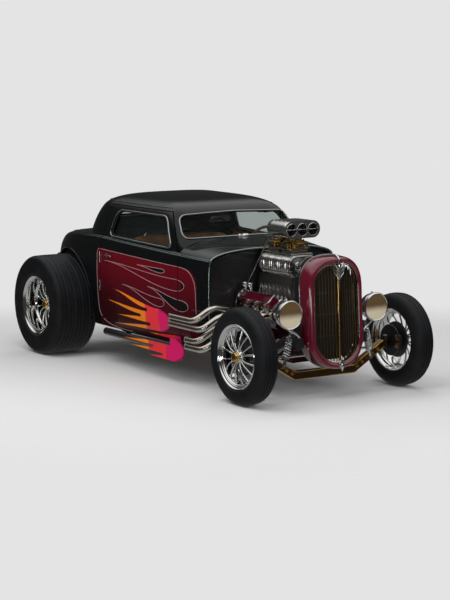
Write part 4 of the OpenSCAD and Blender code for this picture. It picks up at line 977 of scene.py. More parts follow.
def build_rear(looks):
    edge_y = LID_HALF + GAP + 2
    rows = tail_rows()
    grid = np.array([tail_columns(r, edge_y) for r in rows])
    last = grid[-1]
    centre = np.column_stack([np.full(len(last), DOOR_REAR), np.zeros(len(last)), last[:, 2]])
    inward = [centre + (last - centre) * (1 - w / np.maximum(np.linalg.norm(last - centre, axis=1), 1))[:, None]
              for w in (3, 12, 30)]
    inward[0][:, 2] += 1.0
    grid = np.concatenate([grid, np.array(inward)])
    n, m = grid.shape[:2]
    faces = lattice(n, m)
    i, j = faces[:, 0] // m, faces[:, 0] % m
    hole = (rows[np.minimum(i, len(rows) - 1)] >= 2.2 - 1e-6) & (i < len(rows) - 1) & \
           (rows[np.minimum(i + 1, len(rows) - 1)] <= 9.2 + 1e-6) & (j >= 90) & (j < m - 1 - 90)
    points, faces = grid.reshape(-1, 3), faces[~hole].tolist()
    faces = facing(points, faces, np.array([-900, 0, 700.0]))
    arch = np.column_stack([REAR_AXLE[0] + 480 * np.cos(circle(240)), REAR_AXLE[2] + 480 * np.sin(circle(240))])
    edges = []
    for side in (1, -1):
        points, faces, edge = trim(points, faces, [0, 2], arch, lambda p, s=side: p[:, 1] * s > 525)
        edges.append(edge)
    Shape().add(thick(points, faces, 22.0)).make("tail_skin", "body", ["black_paint"], ["rear_body"], weld=0.02)
    trimmings = Shape()
    for row in (7.15, 8.6):
        reach = np.concatenate([tail_point(row, 0.0)[None] - [GAP, 0, 0],
                                tail_point(row, np.linspace(2, tail_angle(row, edge_y + 8), 70))])
        normal = unit(np.column_stack([0.3 * (reach[:, 0] - DOOR_REAR), reach[:, 1], np.full(len(reach), 260.0)]))
        trimmings.add(strip(reach, normal, 7, 5), 1, True)
    lip = edges[0][(edges[0][:, 2] > 330)]
    lip = lip[np.argsort(np.arctan2(lip[:, 2] - REAR_AXLE[2], lip[:, 0] - REAR_AXLE[0]))]
    trimmings.add(tube(resample(lip, 120), 6.0, 10), 2, True)
    for z in (600, 840):
        trimmings.add(lathe([[0, 0], [9, 0], [9, 40], [0, 40]], [DOOR_REAR - GAP / 2, 684, z + 50.5], [0, 0, 1], 20), 0, True)
    trimmings.make("tail_trim", "body", ["trim_grey", "belt_metal", "black_paint"], (), "chrome")


def build_lid(looks):
    rows = np.linspace(2.28, 9.14, 70)
    grid = []
    for r in rows:
        y = np.linspace(-1, 1, 61) * LID_HALF
        p = tail_point(r, tail_angle(r, np.abs(y)))
        grid.append(np.column_stack([p[:, 0], y, p[:, 2]]))
    points, faces = grid_skin(np.array(grid), [-900, 0, 700])
    shape = Shape().add(thick(points, faces, 17.0))
    shape.make("lid_skin", "deck_lid", ["black_paint"], ["deck_lid"])
    trim_shape = Shape()
    at = tail_point(4.2, 89.9) * [1, 0, 1]
    out = unit([-1, 0, 0.18])
    trim_shape.add(lathe([[0, -2], [24, -2], [24, 4], [16, 9], [0, 10]], at, out, 32), 0)
    trim_shape.add(block(at + out * 22, [70, 12, 8], 3, [0, 1, 0], [0, 0, 1], out), 0)
    for row in (7.15, 8.6):
        y = np.linspace(-LID_HALF + 3, LID_HALF - 3, 60)
        path = tail_point(row, tail_angle(row, np.abs(y)))
        path[:, 1] = y
        trim_shape.add(strip(path, unit([-1, 0, 1.1]), 7, 5), 1)
    for y in (-300, 300):
        p = tail_point(9.0, tail_angle(9.0, 300.0)) * [1, 0, 1] + [0, y, 0]
        trim_shape.add(lathe([[0, -16], [9, -16], [9, 16], [0, 16]], p + [6, 0, 6], [0, 1, 0], 16), 0)
    trim_shape.make("lid_trim", "deck_lid", ["chrome", "belt_metal"], (), "chrome")


def build_cowl(looks):
    steps = np.linspace(0, 1, 40)
    half = []
    for r in np.linspace(0, 6, 61)[:-1]:
        half.append(side_point(lerp(SCREEN_X, COWL_FRONT, steps), r))
    for a in np.linspace(0, 90, 70):
        z = cowl_arch(SCREEN_X, a)[2]
        x = lerp(float(screen_plane_x(z)) if a > 0 else SCREEN_X, COWL_FRONT, steps)
        half.append(cowl_arch(x, a))
    half = np.array(half)
    grid = np.concatenate([half, half[-2::-1] * [1, -1, 1]])
    points, faces = grid_skin(grid, [700, 0, 700])
    Shape().add(thick(points, faces, 22.0)).make("cowl_skin", "body", ["black_paint"], ["cowl"], sharp=40)
    trimmings = Shape()
    front = grid[:, -1]
    edge = resample(front, 300)
    trimmings.add(tube(edge - unit((edge - [893, 0, 700]) * [0, 1, 1]) * 6 + [0.5, 0, 0], 6.5, 12), 0)
    back = resample(grid[:, 0], 300)
    for row in (7.15, 8.6):
        x = np.linspace(SCREEN_X + 1, COWL_FRONT - 4, 50)
        z = side_point(x, row)[:, 2]
        table = np.linspace(0, 40, 400)
        path = []
        for xi, zi in zip(x, z):
            arch = cowl_arch(xi, table)
            path.append([xi, np.interp(zi, arch[:, 2], arch[:, 1]), zi])
        trimmings.add(strip(np.array(path), [0, 0.94, 0.34], 7, 5), 1, True)
    # Bracket and wiper at the middle of the windscreen's foot
    for s in (-1, 1):
        trimmings.add(lathe([[0, 0], [16, 0], [14, 12], [6, 20], [0, 20]], [486, 36 * s, 1116], [0.2, 0, 1], 20), 2)
    trimmings.add(dome([500, 0, 1117], [0.1, 0, 1], 24, 22, 24), 2)
    trimmings.make("cowl_trim", "body", ["belt_metal", "belt_metal", "chrome"], (), "chrome")


def tongue(spine, widths, surface, lift, n=60, cols=9):
    """A painted lick: spine(s) +- width(s) across, laid on a surface. s runs from the tip to the root."""
    path = spline(spine, n)
    w = smooth_row(np.array(widths, float)[:, None], np.linspace(0, len(widths) - 1, n), 0)
    along = unit(np.gradient(path, axis=0))
    across = np.column_stack([-along[:, 1], along[:, 0]])
    t = np.linspace(-1, 1, cols)
    spots = path[:, None] + t[None, :, None] * np.maximum(w, 0.05)[:, None, None] * across[:, None]
    grid = surface(spots[..., 0], spots[..., 1], lift)
    points, faces = sheet(grid)
    edge = np.concatenate([spots[:, 0], spots[::-1, -1]])
    return points, facing(points, faces, np.array([0, 0, 600.0])), edge


def tail_side(x, z, lift):
    """The body's left side at (x, z), from the cowl back over the quarter panel near the door."""
    flat = side_at(np.maximum(x, DOOR_REAR), z, lift)
    back = np.clip((DOOR_REAR - x) / TAIL_LENGTH, 0, 0.5)
    flat[..., 0] = x
    flat[..., 1] = (flat[..., 1] - lift) * (1 - back ** 2.8) ** (1 / 2.8) + lift
    return flat


# A lick layout drawn for this car. Each row is a stop of an outline, in mm: x and z, and where the outline is round
# also its half height and its length ahead. A positive half height is a notch, a negative one a bulb's front.
DOOR_LICKS = [(-470, 640), (60, 520, 14, 14), (-600, 540), (-40, 464, 13, 13), (-420, 432), (90, 404, 13, 13), (-520, 352),
              (230, 455, -92, 170)]
SILL_LICKS = [(20, 336), (330, 312, 12, 12), (-280, 268), (240, 252, 11, 11), (-160, 222), (380, 205, 10, 10),
              (150, 178), (560, 267, -92, 156)]
LONG_LICK = [(-560, 862), (470, 762, -46, 120)]
CRESCENT = [(470, 762, -46, 120), (470, 762, 46, 80)]
DARK_DROP = [(-60, 874), (270, 856, -17, 60)]
DARK_LICK = [(90, 712), (540, 604, -44, 100)]
LOW_LICK = [(-280, 690), (250, 600, -34, 70)]


def flow(stops, steps=24):
    """A closed outline. From stop to stop it leaves and arrives level, z = z0 + (z1 - z0) t^2 (3 - 2t), so two such
    runs meet in a sharp tip; a round stop is the half ellipse (x + length cos a, z + height sin a), a 90 to -90."""
    full = [(*stop, 0, 0)[:4] for stop in stops]
    t = np.linspace(0, 1, steps, endpoint=False)[1:]
    a = np.radians(np.linspace(90, -90, steps))
    outline = []
    for (x0, z0, h0, _), (x1, z1, h1, ahead) in zip(np.roll(full, 1, 0), full):
        outline.append(np.column_stack([lerp(x0, x1, t), lerp(z0 - h0, z1 + h1, t * t * (3 - 2 * t))]))
        round_stop = np.column_stack([x1 + ahead * np.cos(a), z1 + h1 * np.sin(a)])
        outline.append(round_stop if h1 else round_stop[:1])
    outline = np.concatenate(outline)
    return outline[np.linalg.norm(outline - np.roll(outline, 1, 0), axis=1) > 1e-6]


def painted(loop, surface, low, high, lift, step=5.0):
    """What lies inside a closed outline and inside the box low to high: an even grid of x and z, cut off at the
    outline and laid on the surface at the given lift."""
    x = np.linspace(low[0], high[0], int((high[0] - low[0]) / step) + 2)
    z = np.linspace(low[1], high[1], int((high[1] - low[1]) / step) + 2)
    grid = np.stack(np.broadcast_arrays(x[:, None], 0.0, z[None, :]), -1)
    points, faces = sheet(grid)
    points, faces, _ = trim(points, faces, [0, 2], loop, None, True)
    used = np.unique(np.concatenate([np.asarray(f) for f in faces]))
    where = np.zeros(len(points), int)
    where[used] = np.arange(len(used))
    points = surface(points[used, 0], points[used, 2], lift)
    return points, [[int(where[v]) for v in f] for f in faces]


def stripe(curve, surface, low, high, lift, r):
    """The stretches of a fine line that lie between low and high along x, as flat beads on the surface."""
    spots = resample(curve, 400)
    within = (spots[:, 0] > low) & (spots[:, 0] < high)
    cuts = np.flatnonzero(np.diff(within.astype(int))) + 1
    return [tube(surface(run[:, 0], run[:, 1], lift), r, 5)
            for run, on in zip(np.split(spots, cuts), np.split(within, cuts)) if on[0] and len(run) > 2]


def line_on(edge, surface, lift, r, closed=True):
    """A fine painted line along an outline, as a flat bead on the surface."""
    spots = resample(edge, 220, closed)
    path = surface(spots[:, 0], spots[:, 1], lift)
    return tube(path, r, 5, closed)


PANEL = [[-637, 952], [-300, 941], [100, 925], [420, 912], [560, 905], [650, 880], [710, 820], [735, 740],
         [742, 560], [744, 420], [745, 312]]


def build_flames(looks):
    """Painted licks and fine lines on the sides, cut at the door's edges so that each part rides on its own panel."""
    line = looks.pinstripe_width * 500
    front, back = DOOR_FRONT + GAP + 3, DOOR_REAR + 3
    parts = {"door": (tail_side, back, DOOR_FRONT - 3), "cowl": (cowl_side, front, 742), "quarter": (tail_side, -900, back - 16)}
    shapes = {"door": Shape(), "cowl": Shape(), "quarter": Shape()}
    close = lambda stops: np.concatenate([flow(stops), flow(stops)[:1]])
    lines = [close(LONG_LICK), close(DARK_DROP), close(DARK_LICK), close(LOW_LICK), spline(PANEL, 200),
             spline([[-640, 954], [-676, 944], [-690, 915], [-692, 800], [-690, 600], [-684, 460], [-662, 394], [-605, 350],
                     [-500, 322], [-360, 309], [-200, 307]], 120)]
    for place, (surface, low, high) in parts.items():
        shape = shapes[place]
        for mark, lift, loop in ((0, 1.6, flow(DOOR_LICKS)), (0, 1.6, flow(SILL_LICKS)), (1, 0.9, flow(CRESCENT)),
                                 (1, 1.0, flow(DARK_DROP)), (1, 0.8, flow(DARK_LICK))):
            start = [max(low, loop[:, 0].min() - 6), max(loop[:, 1].min() - 6, SILL + 5)]
            end = [min(high, loop[:, 0].max() + 6), loop[:, 1].max() + 6]
            if start[0] + 12 < end[0] and (place == "door" or mark):
                shape.add(thick(*painted(loop, surface, start, end, lift), 0.6), mark, place != "door")
        for curve in lines:
            for part in stripe(curve, surface, low, high, 1.4, line):
                shape.add(part, 2, place != "door")
    for place in ("cowl", "quarter"):
        shapes[place].make(f"{place}_lines", "body", ["flame_paint", "lick_black", "pinstripe"], (), "flame_paint", sharp=80)
    flat = shapes["door"]
    points, faces, marks = np.concatenate(flat.points), flat.faces, list(flat.marks)
    for side, name in ((1, "left"), (-1, "right")):
        shape = Shape()
        for mark in (0, 1, 2):
            chosen = (points, [f for f, m in zip(faces, marks) if m == mark])
            shape.add(chosen if side == 1 else mirrored(chosen), mark)
        shape.make(f"flame_paint_{name}", f"door_{name}", ["flame_paint", "lick_black", "pinstripe"], (), "flame_paint", sharp=80)


def cowl_side(x, z, lift):
    """The cowl's left side at (x, z): the side below its sixth row and the arch above."""
    x, z = np.broadcast_arrays(np.asarray(x, float), np.asarray(z, float))
    out = side_at(x, z, lift)
    for k in range(out.shape[0]):
        a = np.linspace(0, 60, 300)
        arch = cowl_arch(x[k], a)
        if z[k] > arch[0, 2]:
            out[k, 1] = np.interp(z[k], arch[:, 2], arch[:, 1]) + lift
    return out


def build_skirts(looks):
    """Flame-shaped sheet panels below the sills, cut to the same outline as the paint above them."""
    shape = Shape()
    flat = lambda x, z, lift: np.stack([x, np.full_like(x, 704 + lift), z], -1)
    loop = flow(SILL_LICKS)
    for low, high in (([-306, 138], [DOOR_FRONT, SILL - 9]), ([DOOR_FRONT, 138], [752, 386])):
        shape.add(thick(*painted(loop, flat, low, high, 0.0, 4.0), 4.0), 0, True)
    for x in (140, 440):
        shape.add(block([x + 12, 692, 262], [24, 20, 14], 3), 1, True)
    shape.make("flame_panels", "body", ["flame_paint", "lick_black"], ["flame_skirts"], "flame_paint", sharp=60)


# ---------------------------------------------------------------- front end

SHELL_ROWS = np.array([[46, 16], [34, 2], [20, 0], [8, 14], [0, 45], [-3, 100], [-3, SHELL_DEPTH]], float)


def shell_ring(inset, back, steps=144):
    """The radiator shell's outline: superellipses above and below, leaning back, with a shallow vee in front."""
    a = np.degrees(circle(steps))
    top = a < 180
    fold = np.where(a <= 90, a, np.where(a < 180, 180 - a, np.where(a <= 270, a - 180, 360 - a)))
    c, s = quarter(fold, np.where(top, 2.5, 2.2))
    side = np.where((a <= 90) | (a > 270), 1, -1)
    y = side * (SHELL_HALF - inset) * c
    z = np.where(top, 820 + (SHELL_TOP - 820 - inset) * s, 470 - (470 - SHELL_LOW - inset) * s)
    lean = 55 * (z - SHELL_LOW) / (SHELL_TOP - SHELL_LOW)
    vee = 0.16 * np.abs(y) * np.clip(1 - back / SHELL_DEPTH, 0, 1)
    return np.column_stack([SHELL_FRONT - back - lean - vee, y, z])


def build_shell(looks):
    s = np.linspace(0, 6, 43)
    rings = np.array([shell_ring(smooth_row(SHELL_ROWS, r, 0), smooth_row(SHELL_ROWS, r, 1)) for r in s])
    points, faces = sheet(rings, False, True)
    faces = facing(points, faces, np.array([1650, 0, 640.0]))
    Shape().add(thick(points, faces, 5.0)).make("shell_skin", "body", ["candy_red"], ["grille_shell"], "candy_red", 40)
    trimmings = Shape()
    trimmings.add(tube(shell_ring(47, 15), 3.2, 10, True), 1)
    trimmings.add(tube(shell_ring(-3, SHELL_DEPTH - 4), 5.0, 10, True), 1)
    for side in (1, -1):
        half = spline([[4, 990], [30, 1000], [70, 1004], [110, 992], [150, 950], [182, 880], [192, 780], [193, 640],
                       [190, 480], [178, 400], [140, 330], [80, 290], [30, 280], [8, 284]], 120)
        x = SHELL_FRONT - 10 - 55 * (half[:, 1] - SHELL_LOW) / (SHELL_TOP - SHELL_LOW) - 0.16 * half[:, 0]
        trimmings.add(tube(np.column_stack([x - 10, side * half[:, 0], half[:, 1]]), 3.6, 8), 2)
    # Emblem: a pointed vee of plated wings over the crown, with a long spine running down
    front = lambda y, z, out: [SHELL_FRONT - 55 * (z - SHELL_LOW) / (SHELL_TOP - SHELL_LOW) - 0.16 * abs(y) + out, y, z]
    spine = np.array([front(0, 1078, -62), front(0, 1074, -30), front(0, 1052, -4), front(0, 1010, 5), front(0, 950, 4),
                      front(0, 880, 1), front(0, 820, -6)])
    trimmings.add(tube(spline(spine, 60), np.interp(np.linspace(0, 1, 60), [0, 0.2, 0.5, 1], [4, 9, 9, 1.5]), 14), 3)
    for side in (1, -1):
        for k in range(3):
            root, tip = 1000 - 26 * k, 1052 - 14 * k
            wing = spline([front(4 * side, root - 50, -2), front((16 + 4 * k) * side, root - 20, 3),
                           front((30 + 5 * k) * side, root, 3), front((46 + 6 * k) * side, tip - 24, -1)], 40)
            trimmings.add(tube(wing, np.interp(np.linspace(0, 1, 40), [0, 0.5, 1], [1.5, 6.5, 1.2]), 10), 4 if k == 1 else 3)
    # Pointed plated tip at the foot
    foot = spline([front(0, 330, -6), front(0, 300, 0), front(0, 268, 4), front(0, 236, 2), front(0, 214, -2)], 50)
    trimmings.add(tube(foot, np.interp(np.linspace(0, 1, 50), [0, 0.25, 0.6, 1], [2, 9, 12, 1]), 14), 3)
    for side in (1, -1):
        leaf = spline([front(0, 306, 0), front(16 * side, 286, 2), front(22 * side, 262, 2), front(6 * side, 230, 0)], 40)
        trimmings.add(tube(leaf, np.interp(np.linspace(0, 1, 40), [0, 0.5, 1], [1.5, 6, 1.5]), 10), 3)
    # Side marker on the shell's flank
    for side in (1, -1):
        at = np.array([SHELL_FRONT - 90, 250.5 * side, 415.0])
        trimmings.add(slab_at(at, 22, 52, 7, side), 3)
        trimmings.add(slab_at(at + [0, 5 * side, 0], 14, 42, 6, side), 5)
    trimmings.make("shell_trim", "body", ["gold", "trim_grey", "brass", "chrome", "belt_metal", "bronze"], (), "chrome")
    # Backing sheet behind the bars
    v = np.linspace(-1, 1, 40)
    half = 188 * np.ones_like(v)
    z = 640 + v * 340
    top = np.clip((z - 820) / 182, 0, 1)
    low = np.clip((470 - z) / 184, 0, 1)
    half = 190 * (1 - top ** 2.5) ** 0.4 * (1 - low ** 2.2) ** 0.4545
    u = np.linspace(-1, 1, 60)
    y = u[None, :] * half[:, None]
    x = SHELL_FRONT - 66 - 55 * (z[:, None] - SHELL_LOW) / (SHELL_TOP - SHELL_LOW) - 0.16 * np.abs(y)
    points, faces = sheet(np.stack([x, y, np.broadcast_to(z[:, None], y.shape)], -1))
    faces = facing(points, faces, np.array([0, 0, 640.0]))
    Shape().add(thick(points, faces, 2.0)).make("grille_mesh", "body", ["inner_black"], (), "chassis_black")


def slab_at(at, w, h, t, side):
    return placed(slab(rectangle(w, h, 10), 0, t, 1.5), at, (1, 0, 0), (0, 0, 1), (0, side, 0))


def build_bars(looks):
    """Rounded bars that follow the shell's lean, the middle one wide and gold."""
    shape = Shape()
    lean = math.atan2(55, SHELL_TOP - SHELL_LOW)
    turn = np.array([[math.cos(lean), 0, math.sin(lean)], [0, 1, 0], [-math.sin(lean), 0, math.cos(lean)]])
    def leaned(part):
        points, faces = part
        base = np.array([SHELL_FRONT, 0, SHELL_LOW])
        return base + (points - base) @ turn, faces
    for i in range(1, 16):
        for side in (1, -1):
            y = side * i * 12.5
            if abs(y) > 188:
                continue
            top = 818 + 188 * (1 - (abs(y) / 192) ** 2.5) ** 0.4
            low = 472 - 184 * (1 - (abs(y) / 192) ** 2.2) ** 0.4545
            x = SHELL_FRONT - 28 - 0.16 * abs(y)
            wide = i % 2 == 0
            r = 4.0 if wide else 2.6
            path = np.column_stack([np.full(12, x + (0 if wide else -4)), np.full(12, y), np.linspace(low, top, 12)])
            shape.add(leaned(tube(path, r, 10)), 0 if wide else 2)
    shape.add(leaned(block([SHELL_FRONT - 27, 0, 648], [14, 15, 712], 3)), 1)
    shape.add(leaned(tube([[SHELL_FRONT - 19, 0, 292], [SHELL_FRONT - 19, 0, 640], [SHELL_FRONT - 19, 0, 1000]], 5, 12)), 1)
    for z in (480, 640, 800):
        path = np.array([[SHELL_FRONT - 61, -200, z + 5], [SHELL_FRONT - 36, 0, z + 5], [SHELL_FRONT - 61, 200, z + 5]])
        shape.add(leaned(tube(resample(path, 30), 4, 8)), 2)
        for side in (1, -1):
            shape.add(leaned(block([SHELL_FRONT - 56, 205 * side, z + 5], [12, 18, 10], 2)), 2)
    shape.make("grille_bar_set", "body", ["bar_bronze", "gold", "cast_iron"], ["grille_bars"], "bronze")


def build_lamps(looks):
    shape, lenses = Shape(), Shape()
    x = [1.0, 0, 0]
    bowl = np.array([[0, 40], [98, 40], [101, 44], [106, 50], [108, 56], [107, 60], [102, 60], [99, 55], [97, 46]])
    t = np.linspace(0, math.pi / 2, 24)
    back = np.column_stack([6 + 100 * np.cos(t) ** 0.85, 34 - 122 * np.sin(t) ** 1.1])
    body = np.concatenate([[[0, 36], [100, 36]], back, [[0, -89]]])
    shape.add(lathe(body, LAMP, x, 72), 0, True)
    shape.add(lathe(np.array([[96, 34], [104, 36], [109, 42], [110, 50], [108, 58], [103, 61], [99, 58], [98, 50]]),
                    LAMP, x, 72), 1, True)
    dish = np.linspace(0, 1, 16)
    shape.add(lathe(np.concatenate([np.column_stack([97 * dish, 37.5 + 8 * dish ** 2]), [[97, 37], [0, 37]]]), LAMP, x, 72),
              2, True)
    shape.add(dome(LAMP + [38, 0, 0], x, 18, 14, 24), 1, True)
    shape.add(tube(bent([LAMP + [8, -3, -96], LAMP + [14, -20, -120], [1670, 318, 500], [1670, 302, 482]], 30), 11, 16), 0, True)
    shape.add(lathe([[0, 0], [16, 0], [16, 8], [9, 12], [0, 12]], [1670, 300, 470.3], [0, 0, 1], 20), 0, True)
    shape.add(dome(LAMP + [0, 0, 104], [0, 0, 1], 9, 12), 0, True)
    shape.make("headlamp_set", "body", ["chrome", "chrome", "reflector"], ["headlights"], "chrome")
    def fluted(a, place, radius):
        return radius
    r = np.linspace(0, 99, 18)
    front = np.column_stack([r, 54.4 - 0.0 + 8.0 * (1 - (r / 99) ** 2)])
    lens = np.concatenate([front, [[99, 50], [96, 49]], np.column_stack([r[::-1] * 0.96, 49.0 + 6 * (1 - (r[::-1] / 99) ** 2)])])
    points, faces = lathe(lens, LAMP, x, 96)
    flutes = np.sin((points[:, 1] - LAMP[1]) * 2 * math.pi / 11.0)
    edge = np.hypot(points[:, 1] - LAMP[1], points[:, 2] - LAMP[2]) < 92
    points = points + np.column_stack([0.7 * flutes * edge, np.zeros((len(points), 2))])
    lenses.add((points, faces), 0, True)
    for z in (-30, 0):
        path = np.column_stack([np.full(30, LAMP[0] + 57), LAMP[1] + np.linspace(-88, 88, 30), np.full(30, LAMP[2] + z)])
    lenses.make("headlamp_lenses", "body", ["lamp_glass"], ["headlight_lenses"], "lamp_glass")
    tails = Shape()
    at = tail_point(3.7, tail_angle(3.7, 478.0)) + [16, 0, 0]
    back = [-1.0, 0, 0]
    tails.add(lathe([[0, 2], [30, 2], [30, 26], [26, 30], [14, 33.5], [0, 34]], at, back, 40), 0, True)
    tails.add(lathe([[29, 6], [34, 6], [34, 30], [32, 33], [29, 31]], at, back, 40), 1, True)
    tails.add(lathe([[9, 30], [12, 30], [12, 34], [9, 34.5]], at, back, 24), 1, True)
    tails.make("tail_lamps", "body", ["red_lens", "chrome"], ["taillights"], "red_lens")


# ---------------------------------------------------------------- wheels


def tyre_part(centre, r, width, rim_r, wheel_w, side, grooves, depth, blocks, steps):
    """A turned tyre. The crown carries grooves round it: depth * a smooth notch at each groove's place,
    and blocks * a zigzag that goes round with the angle."""
    half = width / 2
    seat = wheel_w / 2 - 6
    shoulder = r - 34
    corners = np.array([[rim_r + 1.0, -seat], [rim_r + 14, -half + 3], [rim_r + 30, -half + 1], [lerp(rim_r, r, 0.45), -half],
                        [shoulder, -half + 7], [r - 9, -half + 26], [r - 1.5, -half + 50]])
    wall = spline(corners, 34)
    crown = np.column_stack([np.full(120, r), np.linspace(-half + 52, half - 52, 120)])
    crown[:, 0] -= 3.0 * (crown[:, 1] / (half - 50)) ** 4
    wall[:, 0] += 1.2 * np.maximum(0, np.sin((wall[:, 0] - rim_r) / (r - rim_r) * 9.0)) * (wall[:, 0] < shoulder)
    profile = np.concatenate([wall, crown, wall[::-1] * [1, -1], [[rim_r + 1.0, 0.0]]])
    profile = profile[np.concatenate([[True], np.linalg.norm(np.diff(profile, axis=0), axis=1) > 0.2])]
    crown_half = half - 30

    def cut(a, place, radius):
        near = (radius > r - 14) & (np.abs(place) < crown_half)
        dip = np.zeros_like(radius)
        for g, w in grooves:
            wave = place - g * crown_half - blocks * 3.0 * np.sin(a * 72)
            dip = np.maximum(dip, np.clip(1.3 - np.abs(wave) / w, 0, 1))
        rib = np.clip((np.sin(a * 72 + place * 0.11) - 0.55) * 3, 0, 1) * blocks
        outer = np.abs(place) > 0.78 * crown_half
        return radius - near * (depth * dip + 2.2 * rib * outer)

    at = np.asarray(centre, float) * [1, side, 1]
    return lathe(profile, at, [0, side, 0], steps, cut)


def build_tyres(looks):
    deep = looks.groove_depth * 1000
    front = [(g, 4.2) for g in (-0.66, -0.24, 0.24, 0.66)]
    rear = [(g, 6.5) for g in (-0.60, -0.20, 0.20, 0.60)] + [(g, 2.2) for g in (-0.86, -0.40, 0.0, 0.40, 0.86)]
    for side, name in ((1, "left"), (-1, "right")):
        shape = Shape().add(tyre_part(FRONT_AXLE, FRONT_R, FRONT_W, FRONT_RIM, FRONT_W - 16, side, front, deep, 0.0, 216))
        shape.make(f"front_tyre_tread_{name}", f"wheel_front_{name}", ["tyre"], [f"front_tyre_{name}"], "tyre")
        shape = Shape().add(tyre_part(REAR_AXLE, REAR_R, REAR_W, REAR_RIM, REAR_W - 30, side, rear, deep, 0.5, 432))
        shape.make(f"rear_tyre_tread_{name}", f"wheel_rear_{name}", ["tyre"], [f"rear_tyre_{name}"], "tyre")


def rim_profile(rim_r, width, dish):
    """The rim: lips at both sides, bead seats, a stepped well and the deep polished dish outside."""
    half = width / 2
    well = rim_r - 36
    return np.array([
        [rim_r - 9, -half + 7], [rim_r - 4, -half + 2], [rim_r - 1, -half], [rim_r, -half + 3], [rim_r, -half + 12],
        [rim_r - 12, -half + 22], [rim_r - 24, -half + 34], [well + 4, -half + 40], [well + 4, half - dish - 30],
        [rim_r - 22, half - dish + 2], [rim_r - 16, half - 24], [rim_r, half - 13], [rim_r, half - 3],
        [rim_r - 1.5, half], [rim_r - 5, half], [rim_r - 8, half - 3], [rim_r - 10, half - 8],
        [rim_r - 22, half - 14], [rim_r - 25, half - 18], [rim_r - 26, half - 22], [rim_r - 29, half - dish + 14],
        [well - 1, half - dish + 8], [well - 4, half - dish - 2], [well - 4, half - dish - 36], [well - 3, -half + 48],
        [rim_r - 32, -half + 38], [rim_r - 20, -half + 26]], float)


def wheel_part(centre, side, rim_r, width, dish, spokes, brake):
    shape = Shape()
    at = np.asarray(centre, float) * [1, side, 1]
    axis = np.array([0, side, 0.0])
    half = width / 2
    base = rim_profile(rim_r, width, dish)
    shape.add(lathe(np.concatenate([resample(base, 90, True)]), at, axis, 120), 0)
    face = half - dish
    hub = [[0, face - 26], [54, face - 26], [60, face - 20], [62, face - 6], [56, face + 6], [48, face + 12], [44, face + 20],
           [38, face + 23], [0, face + 23]]
    shape.add(lathe(hub, at, axis, 64), 0)
    cap = [[0, face + 20], [40, face + 20], [41, face + 26], [37, face + 31], [35, face + 38], [30, face + 45],
           [20, face + 48.5], [9, face + 49], [0, face + 49]]
    shape.add(lathe(cap, at, axis, 48), 1)
    # Six-sided crown on the cap
    shape.add(lathe([[0, face + 30], [39, face + 30], [39, face + 36], [34, face + 39], [0, face + 39]], at, axis, 36,
                    lambda a, p, radius: radius * (0.95 + 0.05 * np.cos(6 * a))), 1)
    u = np.array([1.0, 0, 0])
    v = np.array([0, 0, 1.0])
    well = rim_r - 37
    for k in range(spokes):
        for lean in (-1, 1):
            a0 = 2 * math.pi * (k + 0.5) / spokes + lean * 0.10
            a1 = 2 * math.pi * (k + 0.5) / spokes + lean * 0.20
            start = at + 40 * (math.cos(a0) * u + math.sin(a0) * v) + axis * (face + 4)
            bend = at + 110 * (math.cos((a0 + a1) / 2) * u + math.sin((a0 + a1) / 2) * v) + axis * (face + 14)
            end = at + (well + 2) * (math.cos(a1) * u + math.sin(a1) * v) + axis * (face - 8)
            path = spline([start, bend, end], 14)
            shape.add(tube(path, np.interp(np.linspace(0, 1, 14), [0, 0.5, 1], [8.5, 6.2, 8.5]), 12), 0)
            shape.add(dome(at + (well - 3) * (math.cos(a1) * u + math.sin(a1) * v) + axis * (face - 8),
                           -(math.cos(a1) * u + math.sin(a1) * v), 9, 6, 12), 2)
    for k in range(6):
        a = 2 * math.pi * k / 6
        shape.add(hexagon(at + 50 * (math.cos(a) * u + math.sin(a) * v) + axis * (face + 9), axis, 7, 7), 2)
    # Valve stem
    shape.add(tube([at + (rim_r - 30) * u + axis * (face + 18), at + (rim_r - 34) * u + axis * (face + 44)], 3, 10), 2)
    if brake:
        drum = [[0, -26], [132, -26], [138, -22], [140, -14], [140, -10], [136, -6], [0, -6]]
        drum = [[0, -24], [134, -24], [140, -20], [140, -16], [134, -14], [96, -14], [90, -10], [0, -10]]
        shape.add(lathe(drum, at, axis, 96), 3)
        # Painted shade: small matte black discs on the brake's face stand for drilled holes.
        for k in range(24):
            a = 2 * math.pi * k / 24
            r = 104 + 12 * (k % 3)
            shape.add(lathe([[0, 0], [4.5, 0], [4.0, 0.8], [0, 0.8]],
                            at + r * (math.cos(a) * u + math.sin(a) * v) + axis * -13.9, axis, 10), 4)
        shape.add(lathe([[0, -40], [40, -40], [40, 34], [0, 34]], at, axis, 40), 3)
    else:
        shape.add(lathe([[0, -170], [52, -170], [52, face + 2], [0, face + 2]], at, axis, 48), 3)
        shape.add(lathe([[60, -120], [165, -120], [170, -116], [170, -62], [165, -58], [60, -58]], at, axis, 96), 3)
    return shape


def build_wheels(looks):
    finishes_used = ["chrome", "gold", "steel", "cast_iron", "inner_black"]
    for side, name in ((1, "left"), (-1, "right")):
        wheel_part(FRONT_AXLE, side, FRONT_RIM, FRONT_W - 16, 30, 8, True).make(
            f"front_rim_{name}", f"wheel_front_{name}", finishes_used, [f"front_wheel_{name}"], "chrome")
        wheel_part(REAR_AXLE, side, REAR_RIM, REAR_W - 30, 122, 8, False).make(
            f"rear_rim_{name}", f"wheel_rear_{name}", finishes_used, [f"rear_wheel_{name}"], "chrome")


# ---------------------------------------------------------------- chassis


